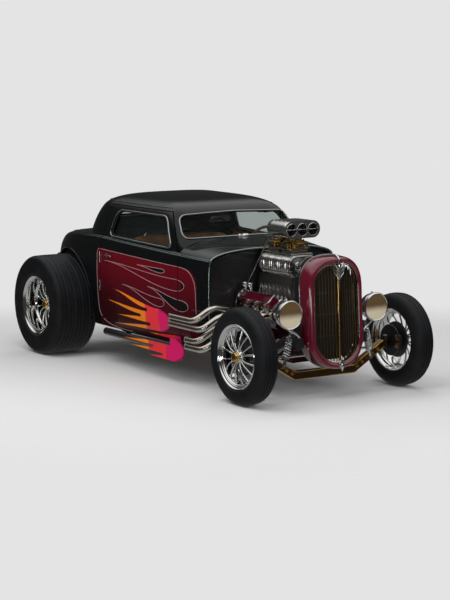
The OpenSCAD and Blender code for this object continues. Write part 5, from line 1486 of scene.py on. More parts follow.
def coil(low, high, r, wire, turns):
    """A helical spring about the line from low to high."""
    low, high = np.asarray(low, float), np.asarray(high, float)
    axis = unit(high - low)
    u = unit(np.cross(axis, [0, 1.0, 0] if abs(axis[1]) < 0.9 else [1.0, 0, 0]))
    v = np.cross(axis, u)
    t = np.linspace(0, 1, int(turns * 20))[:, None]
    a = 2 * math.pi * turns * t
    return tube(low + (high - low) * t + r * (np.cos(a) * u + np.sin(a) * v), wire, 8)


def shock(shape, low, high, r, marks=(0, 1, 2)):
    low, high = np.asarray(low, float), np.asarray(high, float)
    d = high - low
    length = float(np.linalg.norm(d))
    axis = d / length
    t = length
    shape.add(lathe([[0, 6], [r * 0.42, 6], [r * 0.42, t * 0.2], [r * 0.92, t * 0.2], [r * 0.92, t * 0.225],
                     [r * 0.5, t * 0.24], [r * 0.5, t * 0.62], [r * 0.3, t * 0.64], [r * 0.3, t * 0.79], [r * 0.92, t * 0.79],
                     [r * 0.92, t * 0.815], [r * 0.4, t * 0.83], [r * 0.4, t - 6], [0, t - 6]], low, axis, 40), marks[0])
    shape.add(coil(low + d * 0.235, low + d * 0.785, r * 0.86, r * 0.13, 8), marks[1])
    for p in (low, high):
        shape.add(lathe([[r * 0.2, -8], [r * 0.46, -8], [r * 0.5, 0], [r * 0.46, 8], [r * 0.2, 8]], p,
                        [0, 1, 0] if abs(axis[1]) < 0.3 else [1, 0, 0], 24), marks[2])


def build_chassis(looks):
    coils = Shape()
    x = FRONT_AXLE[0] + 60
    eye = 300 - 60 * math.tan(math.radians(2.2)) + 26.2
    shock(coils, [x, 408, 262], [x, eye + 16, 535], 30)
    coils.add(tube([[x, eye, 535], [x, eye + 34, 535]], 13, 20), 2)
    coils.add(tube([[FRONT_AXLE[0] + 24.3, 408, 258], [FRONT_AXLE[0] + 69.3, 408, 258]], 12, 20), 2)
    coils.add(hexagon([x, eye + 33, 535], [0, 1, 0], 11, 7), 2)
    coils.add(hexagon([FRONT_AXLE[0] + 68, 408, 258], [1, 0, 0], 10, 7), 2)
    coils.points, coils.faces = list(coils.points), list(coils.faces)
    full = Shape()
    part = (np.concatenate(coils.points), coils.faces)
    marks = list(coils.marks)
    for keep in (part, mirrored(part)):
        full.points.append(keep[0])
        full.faces += [[v + full.count for v in f] for f in keep[1]]
        full.marks += marks
        full.count += len(keep[0])
    full.make("front_shocks", "body", ["chrome", "chrome", "steel"], ["front_coilovers"], "chrome")
    rear = Shape()
    top = [REAR_AXLE[0] - 145, 300, 530]
    shock(rear, [REAR_AXLE[0] - 105, 290, REAR_R - 110], top, 38)
    rear.add(tube([[top[0], 290, 530], [top[0], 382, 530]], 13, 16), 2)
    rear.add(tube([[REAR_AXLE[0] - 105, 280, REAR_R - 110], [REAR_AXLE[0] - 105, 334.6, REAR_R - 110]], 13, 16), 2)
    part = (np.concatenate(rear.points), rear.faces)
    both = Shape()
    for keep in (part, mirrored(part)):
        both.points.append(keep[0])
        both.faces += [[v + both.count for v in f] for f in keep[1]]
        both.marks += list(rear.marks)
        both.count += len(keep[0])
    both.make("rear_shocks", "body", ["chrome", "chrome", "steel"], ["rear_coilovers"], "chrome")
    for node, finish, slot in (
            ("frame_rail_right", "chassis_black", None), ("frame_rail_left", "chassis_black", None),
            ("crossmembers", "chassis_black", None), ("front_axle", "bronze", None), ("front_radius_rods", "chrome", None),
            ("rear_axle", "cast_iron", None), ("rear_ladder_bars", "chrome", None), ("driveshaft", "steel", None),
            ("transmission", "cast_alloy", "cast_iron"), ("firewall", "chassis_black", None),
            ("floor_pan", "inner_black", "chassis_black"), ("boot_floor", "inner_black", "chassis_black"),
            ("wheel_tubs", "inner_black", "chassis_black"), ("tow_eye", "cast_iron", None), ("tie_rod", "chrome", None),
            ("pitman_arm", "cast_iron", None), ("knuckle_right", "cast_iron", None), ("knuckle_left", "cast_iron", None),
            ("side_pipes", "chassis_black", None), ("door_glass_right", "glass", None), ("door_glass_left", "glass", None),
            ("windshield_glass", "glass", None), ("rear_glass", "glass", None), ("steering_column", "chrome", None),
            ("dashboard", "candy_red", None), ("radiator", "cast_iron", None), ("engine_block", "maroon_paint", None),
            ("intake_manifold", "cast_alloy", "polished_alloy")):
        dress(node, finish)
    extra = Shape()
    # Edge bead and lightening-hole liners on the dropped axle
    y1, y2, z2, h = 270, KINGPIN_Y - 42, FRONT_R - 22, 31
    for x0 in (FRONT_AXLE[0] - 24, FRONT_AXLE[0] + 24):
        for s in (-1, 1):
            path = np.array([[x0, s * y2, z2 + h - 3], [x0, s * y1, 175 + h - 3], [x0, 0, 175 + h - 3]])
            extra.add(tube(resample(path, 60), 3.2, 8), 0)
            low = np.array([[x0, s * (KINGPIN_Y - 34), 318], [x0, s * (y1 + 12), 175 - h + 3], [x0, 0, 175 - h + 3]])
            extra.add(tube(resample(low, 60), 3.2, 8), 0)
    for k in range(5):
        t = 0.12 + 0.17 * k
        for s in (-1, 1):
            hole = np.array([FRONT_AXLE[0], s * lerp(y1, y2, t), lerp(175, z2, t)])
            extra.add(lathe([[13.2, -25.5], [17.5, -25.5], [17.5, -24], [14.8, -23], [14.8, 23], [17.5, 24], [17.5, 25.5],
                             [13.2, 25.5]], hole, [1, 0, 0], 28), 0)
    for s in (-1, 1):
        for z in (345 + 23, 345 - 23 - 4):
            extra.add(lathe([[0, 0], [15, 0], [13, 4], [0, 4]], [FRONT_AXLE[0], s * KINGPIN_Y, z], [0, 0, 1], 24), 1)
    # Brake lines from the frame to the wheels
        line = bent([[1500, s * 320, 430], [1500, s * 380, 420], [1520, s * 470, 380], [1530, s * 545, 395]], 30)
        extra.add(tube(line, 4.0, 8), 2)
    extra.make("axle_trim", "body", ["gold", "chrome", "belt_rubber"], (), "bronze")
    for side, name in ((1, "left"), (-1, "right")):
        knuckle = Shape()
        at = np.array([FRONT_AXLE[0] + 93, side * (KINGPIN_Y + 50), FRONT_R])
        knuckle.add(block(at, [52, 34, 104], 9), 0)
        knuckle.add(block(at + [0, -12 * side, 0], [58, 16, 70], 6), 0)
        for z in (-26, 26):
            knuckle.add(lathe([[0, 0], [17, 0], [17, 4], [13, 6], [0, 6]], at + [0, -19 * side, z], [0, -side, 0], 28), 1)
        for z in (-44, 44):
            knuckle.add(hexagon(at + [-4, -17 * side, z], [0, -side, 0], 7, 6), 1)
        back = np.array([FRONT_AXLE[0], side * (KINGPIN_Y + 42), FRONT_R])
        knuckle.add(lathe([[26, -2], [118, -2], [122, 2], [118, 4], [26, 4]], back, [0, side, 0], 80), 2)
        knuckle.add(dome([FRONT_AXLE[0], side * KINGPIN_Y, 401], [0, 0, 1], 21, 9, 24), 1)
        knuckle.make(f"brake_caliper_{name}", f"knuckle_{name}", ["bronze", "steel", "cast_iron"], (), "bronze")


# ---------------------------------------------------------------- engine


def build_covers(looks):
    """Ribbed covers: a plated flange with bolts, a red box with drawn-in sides and a plated rail round its top."""
    shape = Shape()
    tilt = math.atan2(75, 85)
    for side in (1, -1):
        x = np.array([1.0, 0, 0])
        y = np.array([0, side * math.cos(tilt), -math.sin(tilt)])
        z = np.array([0, side * math.sin(tilt), math.cos(tilt)])
        base = np.array([ENGINE_X, side * 257.5, CRANK_Z + 267.5])
        shape.add(placed(slab(rectangle(HEAD_L - 20, 116, 10), 0.4, 11, 2), base, x, y, z), 1)
        shape.add(placed(slab(rectangle(HEAD_L - 40, 98, 14), 10, 66, 4, 5), base, x, y, z), 0)
        rail = rounded([[-205, -38], [205, -38], [205, 38], [-205, 38]], 10, 6)
        ring = np.column_stack([rail, np.full(len(rail), 69.0)])
        shape.add(placed(tube(resample(ring, 160, True), 5.5, 10, True), base, x, y, z), 1)
        for k in range(7):
            path = np.array([[-192, -27 + 9 * k, 66.5], [192, -27 + 9 * k, 66.5]])
            shape.add(placed(strip(path, [0, 0, 1], 5, 5), base, x, y, z), 0)
        for k in range(8):
            for s in (-1, 1):
                spot = base + x * (-200 + 400 * k / 7) + y * 52 * s + z * 10
                shape.add(hexagon(spot, z, 6.0, 7), 1)
        if True:
            spot = base + x * -150 + z * 66
            shape.add(lathe([[0, 0], [20, 0], [20, 8], [24, 10], [24, 13.8], [0, 13.8]], spot, z, 32), 1)
    shape.make("rocker_covers", "body", ["candy_red", "chrome"], ["valve_covers"], "candy_red")


def build_blower(looks):
    """The case is a superellipse along x whose radius swells at each rib: r (1 + rib(x))."""
    shape = Shape()
    n = 200
    x = np.linspace(ENGINE_X - 196, ENGINE_X + 196, n)
    a = circle(96)
    c, s = np.cos(a), np.sin(a)
    flat = np.column_stack([np.sign(c) * np.abs(c) ** 0.5 * 128, np.sign(s) * np.abs(s) ** 0.62 * 76])
    rib = 7.0 * np.clip(np.sin((x - ENGINE_X) / 392 * 2 * math.pi * 15) * 2.2, -1, 1) * 0.5
    grow = rib[:, None] * (np.abs(c)[None, :] > 0.25)
    rings = np.stack([np.broadcast_to(x[:, None], (n, 96)), flat[None, :, 0] * (1 + grow / 128),
                      BLOWER_Z + 84 + flat[None, :, 1] * (1 + grow / 160)], -1)
    shape.add(loft(rings), 0)
    shape.add(block([ENGINE_X, 0, BLOWER_Z + 7], [404, 226, 14], 5), 0)
    shape.add(block([ENGINE_X, 0, BLOWER_Z + 168], [384, 204, 20], 6), 0)
    for end, out in ((ENGINE_X + 196, 1), (ENGINE_X - 196, -1)):
        plate = rounded(np.column_stack([flat[::4, 0] * 0.99, flat[::4, 1] * 0.99]), 4, 3)
        shape.add(placed(slab(plate, 0, 9, 3), [end, 0, BLOWER_Z + 84], (0, 1, 0), (0, 0, 1), (out, 0, 0)), 1)
        for k in range(14):
            t = 2 * math.pi * k / 14
            spot = [end + 8 * out, 112 * math.copysign(abs(math.cos(t)) ** 0.5, math.cos(t)),
                    BLOWER_Z + 84 + 62 * math.copysign(abs(math.sin(t)) ** 0.6, math.sin(t))]
            shape.add(hexagon(spot, [out, 0, 0], 5, 4), 2)
        for y in (-48, 48):
            shape.add(lathe([[0, 0], [36, 0], [34, 6 if out > 0 else 0.8], [0, 8 if out > 0 else 1]],
                            [end + 8.5 * out if out > 0 else end - 8, y, BLOWER_Z + 84], [out, 0, 0], 36), 1)
    for k in range(9):
        for y in (-106, 106):
            shape.add(hexagon([ENGINE_X - 184 + 46 * k, y, BLOWER_Z + 14], [0, 0, 1], 5.5, 6), 2)
    for k in range(8):
        for y in (-95, 95):
            shape.add(hexagon([ENGINE_X - 168 + 48 * k, y, BLOWER_Z + 173], [0, 0, 1], 4.5, 4), 2)
    shape.make("blower_case", "body", ["polished_alloy", "chrome", "steel"], ["blower"], "polished_alloy")


def belt_loop(r1, z1, r2, z2, n=60):
    """The path round two pulleys, one above the other, in the plane of y and z."""
    top = np.linspace(0, math.pi, n)
    return np.concatenate([np.column_stack([r1 * np.cos(top), z1 + r1 * np.sin(top)]),
                           np.column_stack([-r2 * np.cos(top), z2 - r2 * np.sin(top)])])


def build_drive(looks):
    """Toothed pulleys and a cogged belt; the pulleys' radius is r (1 + 0.03 cos(teeth * angle))."""
    shape = Shape()
    front = ENGINE_X + HEAD_L / 2 + 45
    x = np.array([1.0, 0, 0])
    for z, r, teeth in ((BLOWER_Z + 85, 72, 40), (CRANK_Z, 66, 36)):
        at = np.array([front, 0, z])
        gear = lambda a, p, radius, t=teeth: radius * np.where(radius > 50, 1 + 0.018 * np.cos(t * a), 1)
        shape.add(lathe([[0, 6], [r, 6], [r, 66], [0, 66]], at, x, teeth * 6, gear), 0)
        for place in (2, 65):
            shape.add(lathe([[0, place], [r + 8, place], [r + 8, place + 4], [r + 4, place + 6], [0, place + 6]], at, x, 72), 0)
        shape.add(lathe([[0, 66], [44, 66], [42, 71], [20, 71.8], [0, 71.8]], at, x, 48), 1)
        # Bolts, and small matte black discs that stand for holes in each pulley's face: painted shade.
        for k in range(6):
            a = 2 * math.pi * k / 6
            shape.add(hexagon(at + [70, 30 * math.cos(a), 30 * math.sin(a)], x, 5, 3), 2)
            shape.add(lathe([[0, 0], [9, 0], [9, 1.5], [0, 1.5]], at + [70.4, 56 * math.cos(a + 0.5), 56 * math.sin(a + 0.5)], x, 18), 3)
    shape.add(tube([[front - 45, 0, CRANK_Z], [front + 10, 0, CRANK_Z]], 29, 32), 1)
    shape.add(tube([[front - 38, 0, BLOWER_Z + 85], [front + 10, 0, BLOWER_Z + 85]], 34, 40), 0)
    loop = resample(belt_loop(76, BLOWER_Z + 85, 70, CRANK_Z), 720, True)
    along = unit(np.roll(loop, -1, 0) - np.roll(loop, 1, 0))
    out = np.column_stack([along[:, 1], -along[:, 0]])
    teeth = 1.2 * (np.sin(np.arange(720) * 2 * math.pi / 6) > 0)
    rings = []
    for w, h in ((10, -2.5), (62, -2.5), (64, 0), (62, 3), (10, 3), (8, 0)):
        move = (h - (teeth if h < 0 else 0)) if h < 0 else h + 0 * teeth
        spot = loop + out * (move[:, None] if isinstance(move, np.ndarray) else move)
        rings.append(np.column_stack([np.full(720, front + w - 0), spot]))
    shape.add(sheet(np.array(rings).transpose(1, 0, 2), True, True), 4)
    # Idler and its bracket
    idler = np.array([front + 8, 98, 690.0])
    shape.add(lathe([[0, 0], [22, 0], [24, 3], [22, 6], [22, 48], [24, 51], [22, 54], [0, 54]], idler - [0, 4, 0], x, 40), 0)
    shape.add(block([front - 8, 88, 665], [12, 40, 90], 5), 1)
    # Water pump, its neck and the alternator
    shape.add(lathe([[0, -44], [60, -44], [66, -36], [66, -8], [52, 2], [40, 4], [0, 4]], [front - 4, 0, 560], x, 48), 1)
    shape.add(lathe([[0, -40], [46, -40], [50, -32], [50, 10], [44, 18], [0, 18]], [front + 2, -168, 610], x, 48), 1)
    shape.add(lathe([[0, 18], [34, 18], [38, 22], [32, 30], [38, 38], [34, 42], [0, 42]], [front + 2, -168, 610], x, 48), 0)
    shape.make("blower_belt_drive", "body", ["polished_alloy", "chrome", "steel", "inner_black", "belt_rubber"],
               ["blower_drive"], "cast_iron")


def build_carbs(looks):
    """Two four-barrel carburettors in brass: base, throat body, bowls at both ends, levers and fuel lines."""
    shape = Shape()
    z = CARB_Z + 17
    for cx in (ENGINE_X - 85, ENGINE_X + 85):
        shape.add(block([cx, 0, z - 7], [132, 160, 19], 4), 2)
        shape.add(block([cx, 0, z + 6], [134, 150, 11], 4), 0)
        shape.add(block([cx, 0, z + 32], [118, 116, 44], 8), 0)
        shape.add(block([cx, 0, z + 64], [128, 126, 22], 7), 1)
        shape.add(lathe([[0, 0], [60, 0], [62, 3], [58, 8], [56, 26], [0, 26]], [cx, 0, z + 74], [0, 0, 1], 48), 0)
        for s in (-1, 1):
            shape.add(block([cx, 79 * s, z + 36], [96, 38, 46], 9), 0)
            shape.add(block([cx, 94 * s, z + 36], [60, 10, 26], 4), 2)
            for dx in (-40, 40):
                for dz in (20, 52):
                    shape.add(hexagon([cx + dx, 97.5 * s, z + dz], [0, s, 0], 4.5, 2.5), 2)
            shape.add(tube(bent([[cx - 62, 70 * s, z + 50], [cx - 66, 92 * s, z + 56], [cx - 30, 97 * s, z + 62],
                                 [cx + 30, 96 * s, z + 64]], 14), 4, 10), 2)
            for dx in (-34, 0, 34):
                shape.add(lathe([[0, 0], [8, 0], [8, 5], [5, 7], [5, 12], [0, 12]], [cx + dx, 60 * s, z + 73], [0, 0, 1], 16), 2)
        for dx in (-58, 58):
            shape.add(lathe([[0, -9], [13, -9], [14, 0], [13, 9], [0, 9]], [cx + dx, 52, z + 30], [0, 1, 0], 20), 2)
            shape.add(lathe([[0, -9], [11, -9], [12, 0], [11, 9], [0, 9]], [cx + dx, -48, z + 34], [0, 1, 0], 20), 1)
            shape.add(block([cx + dx, -20, z + 44], [9, 40, 14], 3), 1)
            shape.add(tube([[cx + dx, -80, z + 16], [cx + dx, 0, z + 20], [cx + dx, 80, z + 16]], 4, 10), 2)
    for s in (-1, 1):
        rod = [[ENGINE_X - 150, 88 * s, z + 14], [ENGINE_X + 150, 88 * s, z + 14]]
        shape.add(tube(rod, 4, 12), 2)
        for dx in (-150, -60, 60, 150):
            shape.add(dome([ENGINE_X + dx, 88 * s, z + 14], [0, s, 0], 8, 7), 1)
    shape.make("carburettor_pair", "body", ["brass", "gold", "steel"], ["carburettors"], "brass")


def build_scoop(looks):
    """A flat-sided scoop: stadium rings along x, and a face whose three throats are holes in ruled cells."""
    shape = Shape()
    z0, r, hole = SCOOP_Z + 66, 66.0, 45.0
    front, length = ENGINE_X + 190, 275.0
    n = 96
    a = circle(n)
    cells = []
    outline = []
    for cy in (-100.0, 0.0, 100.0):
        side = np.sign(cy)
        c, s = np.cos(a), np.sin(a)
        far = np.full(n, 1e9)
        straight = np.abs(c) > 1e-9
        flat = np.where(straight, 50 / np.maximum(np.abs(c), 1e-9), 1e9)
        tall = r / np.maximum(np.abs(s), 1e-9)
        outside = c * side > 1e-9
        reach = np.where(outside, r, np.minimum(flat, tall))
        rim = np.column_stack([cy + reach * c, z0 + reach * s])
        grid = []
        for t, out in ((0, -7), (0, -2.5), (0.08, 0.0), (0.5, 0.5), (1, 0.0)):
            radius = lerp(hole, reach, t)
            grid.append(np.column_stack([np.full(n, front + out), cy + radius * c, z0 + radius * s]))
        inner = [np.column_stack([np.full(n, front - d), cy + hole * c, z0 + hole * s]) for d in (148, 90, 40, 15)]
        full = np.array(inner + grid)
        points, faces = sheet(full, False, True)
        floor_at = len(points)
        points = np.concatenate([points, [[front - 148, cy, z0]]])
        faces = faces + [[(j + 1) % n, j, floor_at] for j in range(n)]
        shape.add((points, faces), 0)
        keep = outside | (tall <= flat + 1e-6)
        outline.append(rim[keep])
        shape.add(tube([[front - 24, cy - 44, z0], [front - 24, cy + 44, z0]], 4.0, 10), 1)
        shape.add(placed(slab(np.column_stack([43.5 * np.cos(a[::3]), 43.5 * np.sin(a[::3])]), -1.2, 1.2, 0.8),
                         [front - 62, cy, z0], (math.sin(0.35), 0, math.cos(0.35)), (0, 1, 0),
                         (math.cos(0.35), 0, -math.sin(0.35))), 2)
        shape.add(tube(np.column_stack([np.full(60, front + 0.5), cy + 47 * np.cos(circle(60)), z0 + 47 * np.sin(circle(60))]),
                       2.6, 8, True), 1)
    rim = np.unique(np.round(np.concatenate(outline), 4), axis=0)
    order = np.argsort(np.arctan2(rim[:, 1] - z0, rim[:, 0]))
    rim = rim[order]
    middle = np.array([0, z0])
    rings = []
    for place, draw in ((0, 0), (6, -0.5), (30, -0.3), (200, 0.3), (240, 1.5), (262, 7), (272, 18), (275, 34)):
        spot = middle + (rim - middle) * (1 - draw / 66)
        rings.append(np.column_stack([np.full(len(rim), front - place), spot]))
    rings = np.array(rings)
    points, faces = sheet(rings, False, True)
    end = (len(rings) - 1) * len(rim)
    points = np.concatenate([points, [[front - 275, 0, z0]]])
    faces = faces + [[end + (j + 1) % len(rim), end + j, len(points) - 1] for j in range(len(rim))]
    shape.add((points, faces), 0)
    for x in (ENGINE_X - 85, ENGINE_X + 85):
        shape.add(lathe([[0, 0], [57, 0], [57, 2.5], [0, 2.5]], [x, 0, SCOOP_Z - 1.5], [0, 0, 1], 40), 0)
    for k in range(4):
        for s in (-1, 1):
            shape.add(dome([front - 60 - 50 * k, 118 * s, z0 + 64.5], [0, 0.28 * s, 1], 4.5, 3), 1)
    shape.make("scoop_shell", "body", ["polished_alloy", "chrome", "inner_black"], ["air_scoop"], "polished_alloy", 40, 0.01)


HEADERS = ((-0.40, 905, 560, 536), (-0.15, 1010, 560, 482), (0.15, 950, 790, 384), (0.40, 1030, 790, 330))


def build_headers(looks):
    """Four swept tubes a side with flanges at the head, and the linkage plates between them."""
    port_z = CRANK_Z + 196
    for side, name in ((1, "left"), (-1, "right")):
        shape = Shape()
        keep = (lambda part: part) if side == 1 else mirrored
        for port, elbow, end, z in HEADERS:
            x = ENGINE_X + port * HEAD_L
            path = bent([[x, 300.4, port_z], [x, 385, port_z], [elbow + 60, 605, z + 105], [elbow, 735, z], [end, 735, z]],
                        62, 14)
            shape.add(keep(tube(resample(path, 90), 25, 28)), 0)
            shape.add(keep(placed(slab(rectangle(78, 62, 14), 0, 9, 2), [x, 300.4, port_z], (1, 0, 0), (0, 0, 1), (0, 1, 0))), 0)
            for dx in (-31, 31):
                shape.add(keep(hexagon([x + dx, 309, port_z], [0, 1, 0], 6.5, 7)), 1)
            shape.add(keep(lathe([[25, -4], [27.5, -4], [28, 0], [27.5, 6], [25, 6]], [end + 10, 735, z], [1, 0, 0], 36)), 0)
            # Painted shade: a matte black disc just inside each pipe's end stands for its dark hollow.
            shape.add(keep(lathe([[0, 0], [21, 0], [21, 4], [0, 4]], [end - 3, 735, z], [1, 0, 0], 28)), 2)
        shape.make(f"header_tubes_{name}", "body", ["nickel", "steel", "inner_black"], [f"headers_{name}"], "chrome")


def build_engine_details(looks):
    """Plug leads, distributor, breathers, fuel hoses, top hose and head bolts."""
    shape = Shape()
    port_z = CRANK_Z + 196
    for side in (1, -1):
        for k in range(4):
            x = ENGINE_X - 0.42 * HEAD_L + 0.28 * HEAD_L * k
            path = spline([[ENGINE_X - 262, side * 40, 742], [x - 60, side * 150, 742 + 10 * k],
                           [x - 10, side * 235, 700], [x, side * 292, 668], [x + 4, side * 318, 640], [x, side * 306, 622]], 50)
            shape.add(tube(path, 4.2, 8), 0)
            shape.add(tube([[x, side * 312, 636], [x, side * 300, 616]], 7, 12), 1)
        for k in range(9):
            spot = [ENGINE_X - 215 + 53.7 * k, side * 300.2, CRANK_Z + 222]
            shape.add(hexagon(spot, [0, side, 0], 6, 6), 2)
        # Breathers on the covers' back ends
        for k in range(2):
            foot = np.array([ENGINE_X - 190 + 62 * k, side * (262 - 6 * k), CRANK_Z + 322.0])
            shape.add(tube(bent([foot, foot + [0, 0, 40], foot + [-8, 6 * side, 62]], 20), 11, 16), 3)
            shape.add(lathe([[0, 0], [20, 0], [22, 5], [17, 9], [22, 14], [17, 19], [22, 24], [18, 30], [0, 32]],
                            foot + [-8, 6 * side, 56], [0, 0, 1], 28), 3)
        # Fuel hose from the firewall to the carburettors
        hose = spline([[848, side * 210, 700], [880, side * 232, 780], [912, side * 190, 900], [938, side * 142, 1010],
                       [950, side * 104, 1095], [962, side * 90, 1124]], 60)
        shape.add(tube(hose, 6, 10), 4)
        for t in (0, 59):
            shape.add(lathe([[0, -9], [8.5, -9], [9.5, 0], [8.5, 9], [0, 9]], hose[t], unit(hose[min(t + 1, 59)] - hose[max(t - 1, 0)]), 12), 5)
        line = spline([[852, side * 300, 560], [862, side * 322, 640], [890, side * 318, 720], [930, side * 270, 770]], 40)
        shape.add(tube(line, 5, 10), 4)
    # Distributor behind the blower
    cap = np.array([ENGINE_X - 234, 0, 690.0])
    shape.add(lathe([[0, -40], [24, -40], [26, 0], [42, 8], [44, 40], [36, 52], [14, 56], [0, 56]], cap - [14, 0, 0], [0, 0, 1], 40), 1)
    for k in range(8):
        a = 2 * math.pi * k / 8
        shape.add(tube([cap + [-14 + 28 * math.cos(a), 28 * math.sin(a), 48], cap + [-14 + 30 * math.cos(a), 30 * math.sin(a), 66]], 6, 10), 1)
    # Upper and lower radiator hoses in ribbed plating
    for y, path in ((90, [[1372, 60, 650], [1400, 100, 760], [1450, 120, 860], [1500, 110, 900]]),
                    (-100, [[1372, -60, 540], [1420, -120, 520], [1470, -150, 520], [1504, -150, 530]])):
        line = spline(path, 120)
        swell = 20 + 1.8 * np.sin(np.linspace(0, 2 * math.pi * 18, 120))
        shape.add(tube(line, swell, 20), 3)
        for t in (4, 115):
            shape.add(lathe([[20, -6], [24.5, -6], [24.5, 6], [20, 6]], line[t], unit(line[t + 1] - line[t - 1]), 28), 3)
    # Fan and filler neck
    fan = np.array([1478.0, 0, 700])
    for k in range(6):
        a = 2 * math.pi * k / 6
        out = np.array([0, math.cos(a), math.sin(a)])
        across = np.array([0, -math.sin(a), math.cos(a)])
        shape.add(block(fan + out * 105, [130, 52, 3.5], 1.5, out, unit(across + [0.5, 0, 0]), unit(np.cross(out, across + [0.5, 0, 0]))), 3)
    shape.add(lathe([[0, -9], [36, -9], [36, 9], [0, 9]], fan, [1, 0, 0], 32), 3)
    shape.add(lathe([[0, 0], [22, 0], [22, 16], [34, 18], [36, 26], [30, 30], [0, 31]], [1545, 0, 988], [0, 0, 1], 36), 3)
    # Plenum bolts and a plated plate on the block's front
    for k in range(8):
        for s in (-1, 1):
            shape.add(hexagon([ENGINE_X - 190 + 54 * k, s * 113, 668], [0, s * 0.9, 0.45], 6, 6), 2)
            runner = [[ENGINE_X - 180 + 51 * k, s * 118, 800], [ENGINE_X - 180 + 51 * k, s * 134, 740],
                      [ENGINE_X - 180 + 51 * k, s * 150, 668]]
            shape.add(tube(spline(runner, 16), 15, 16), 3)
    shape.add(lathe([[0, 0], [70, 0], [68, 10], [40, 14], [0, 14]], [ENGINE_X + HEAD_L / 2 - 1, 0, 560], [1, 0, 0], 40), 3)
    shape.make("engine_dress", "body",
               ["belt_rubber", "inner_black", "chrome", "chrome", "trim_grey", "bronze", "cast_alloy"], (), "chrome")


# ---------------------------------------------------------------- cabin

CUSHION = {"low": [-340, -526, 330], "high": [124, 526, 552]}


def soft_box(low, high, lean=0.0, step=13.0):
    """A rounded box for a cushion: the surface point of direction d is m + h * d / |d|_6, a superellipsoid."""
    low, high = np.asarray(low, float), np.asarray(high, float)
    middle, half = (low + high) / 2, (high - low) / 2
    rows = max(int(half[2] * 2 / step) * 2, 12)
    cols = int((half[0] + half[1]) * 4 / step)
    v = np.radians(np.linspace(-90, 90, rows + 1))[1:-1]
    u = circle(cols)
    def power(t, n):
        return np.sign(t) * np.abs(t) ** n
    # Spread the angles so that points fall evenly on a long box
    side = resample(np.column_stack([half[0] * power(np.cos(u), 0.28), half[1] * power(np.sin(u), 0.28)]), cols, True)
    rise = resample(np.column_stack([power(np.cos(v), 0.30), power(np.sin(v), 0.30) * half[2] / half[0]]), len(v))
    rings = np.stack([middle[0] + side[None, :, 0] * rise[:, 0][:, None], middle[1] + side[None, :, 1] * rise[:, 0][:, None]
                      + 0 * rise[:, 0][:, None],
                      np.broadcast_to(middle[2] + (rise[:, 1] * half[0])[:, None], (len(v), cols))], -1)
    rings[..., 0] += lean * (rings[..., 2] - middle[2])
    return rings


def filled(points, faces):
    """Even caps for a ring stack: shrinks the end ring to its middle in steps."""
    return points, faces


def cushion_object(name, body, low, high, lean, puff):
    rings = soft_box(low, high, lean)
    caps = [lerp(rings[0], rings[0].mean(0), t) for t in np.linspace(0.94, 0.06, 16)]
    tops = [lerp(rings[-1], rings[-1].mean(0), t) for t in np.linspace(0.06, 0.94, 16)]
    shape = Shape().add(loft(np.concatenate([caps, rings, tops])))
    piece = shape.make(name, body, ["leather"], (), "leather", 80, 1.0)
    inflate(piece, puff)
    return piece


def inflate(piece, puff):
    """Puffs the cushion up with a short cloth simulation, and caps how far any point has moved."""
    scene = bpy.context.scene
    rest = np.zeros(len(piece.data.vertices) * 3, np.float32)
    piece.data.vertices.foreach_get("co", rest)
    cloth = piece.modifiers.new("puff", "CLOTH")
    s = cloth.settings
    s.quality, s.mass = 5, 0.3
    s.tension_stiffness = s.compression_stiffness = 28
    s.shear_stiffness, s.bending_stiffness = 12, 1.2
    s.use_pressure, s.uniform_pressure_force = True, 4.0
    s.effector_weights.gravity = 0.0
    cloth.point_cache.frame_start, cloth.point_cache.frame_end = 1, 20
    for number in range(1, 21):
        scene.frame_set(number)
        bpy.context.view_layer.update()
    puffed = piece.evaluated_get(bpy.context.evaluated_depsgraph_get()).to_mesh()
    after = np.zeros(len(puffed.vertices) * 3, np.float32)
    puffed.vertices.foreach_get("co", after)
    piece.evaluated_get(bpy.context.evaluated_depsgraph_get()).to_mesh_clear()
    piece.modifiers.remove(cloth)
    scene.frame_set(1)
    move = (after - rest).reshape(-1, 3)
    length = np.linalg.norm(move, axis=1, keepdims=True)
    move *= np.minimum(1.0, puff / np.maximum(length, 1e-9))
    piece.data.vertices.foreach_set("co", (rest.reshape(-1, 3) + move).ravel())
    piece.data.update()


def pleat(piece, axis, pitch, depth, facing_axis, spread, centre):
    """Rolls across the cushion: each point on its front face moves in by depth * |sin|^0.5 near each seam."""
    count = len(piece.data.vertices)
    co = np.zeros(count * 3, np.float32)
    piece.data.vertices.foreach_get("co", co)
    normal = np.zeros(count * 3, np.float32)
    piece.data.vertex_normals.foreach_get("vector", normal)
    co, normal = co.reshape(-1, 3), normal.reshape(-1, 3)
    place = co[:, axis] - centre
    wave = np.abs(np.cos(place * math.pi / pitch)) ** 0.45
    face = np.clip((normal @ np.asarray(facing_axis, np.float32) - 0.35) * 2.2, 0, 1)
    inner = np.clip((spread - np.abs(place)) / 0.02, 0, 1)
    seam = np.exp(-((np.abs(place) - spread) / 0.006) ** 2)
    co -= normal * (depth * ((1 - wave) * face * inner + 0.5 * seam * face))[:, None]
    piece.data.vertices.foreach_set("co", co.ravel())
    piece.data.update()


def subdivided(piece):
    """One level of subdivision made part of the mesh."""
    piece.modifiers.new("smooth", "SUBSURF").levels = 1
    shown = piece.evaluated_get(bpy.context.evaluated_depsgraph_get())
    mesh = bpy.data.meshes.new_from_object(shown)
    piece.modifiers.clear()
    piece.data = mesh
    mesh.shade_smooth()


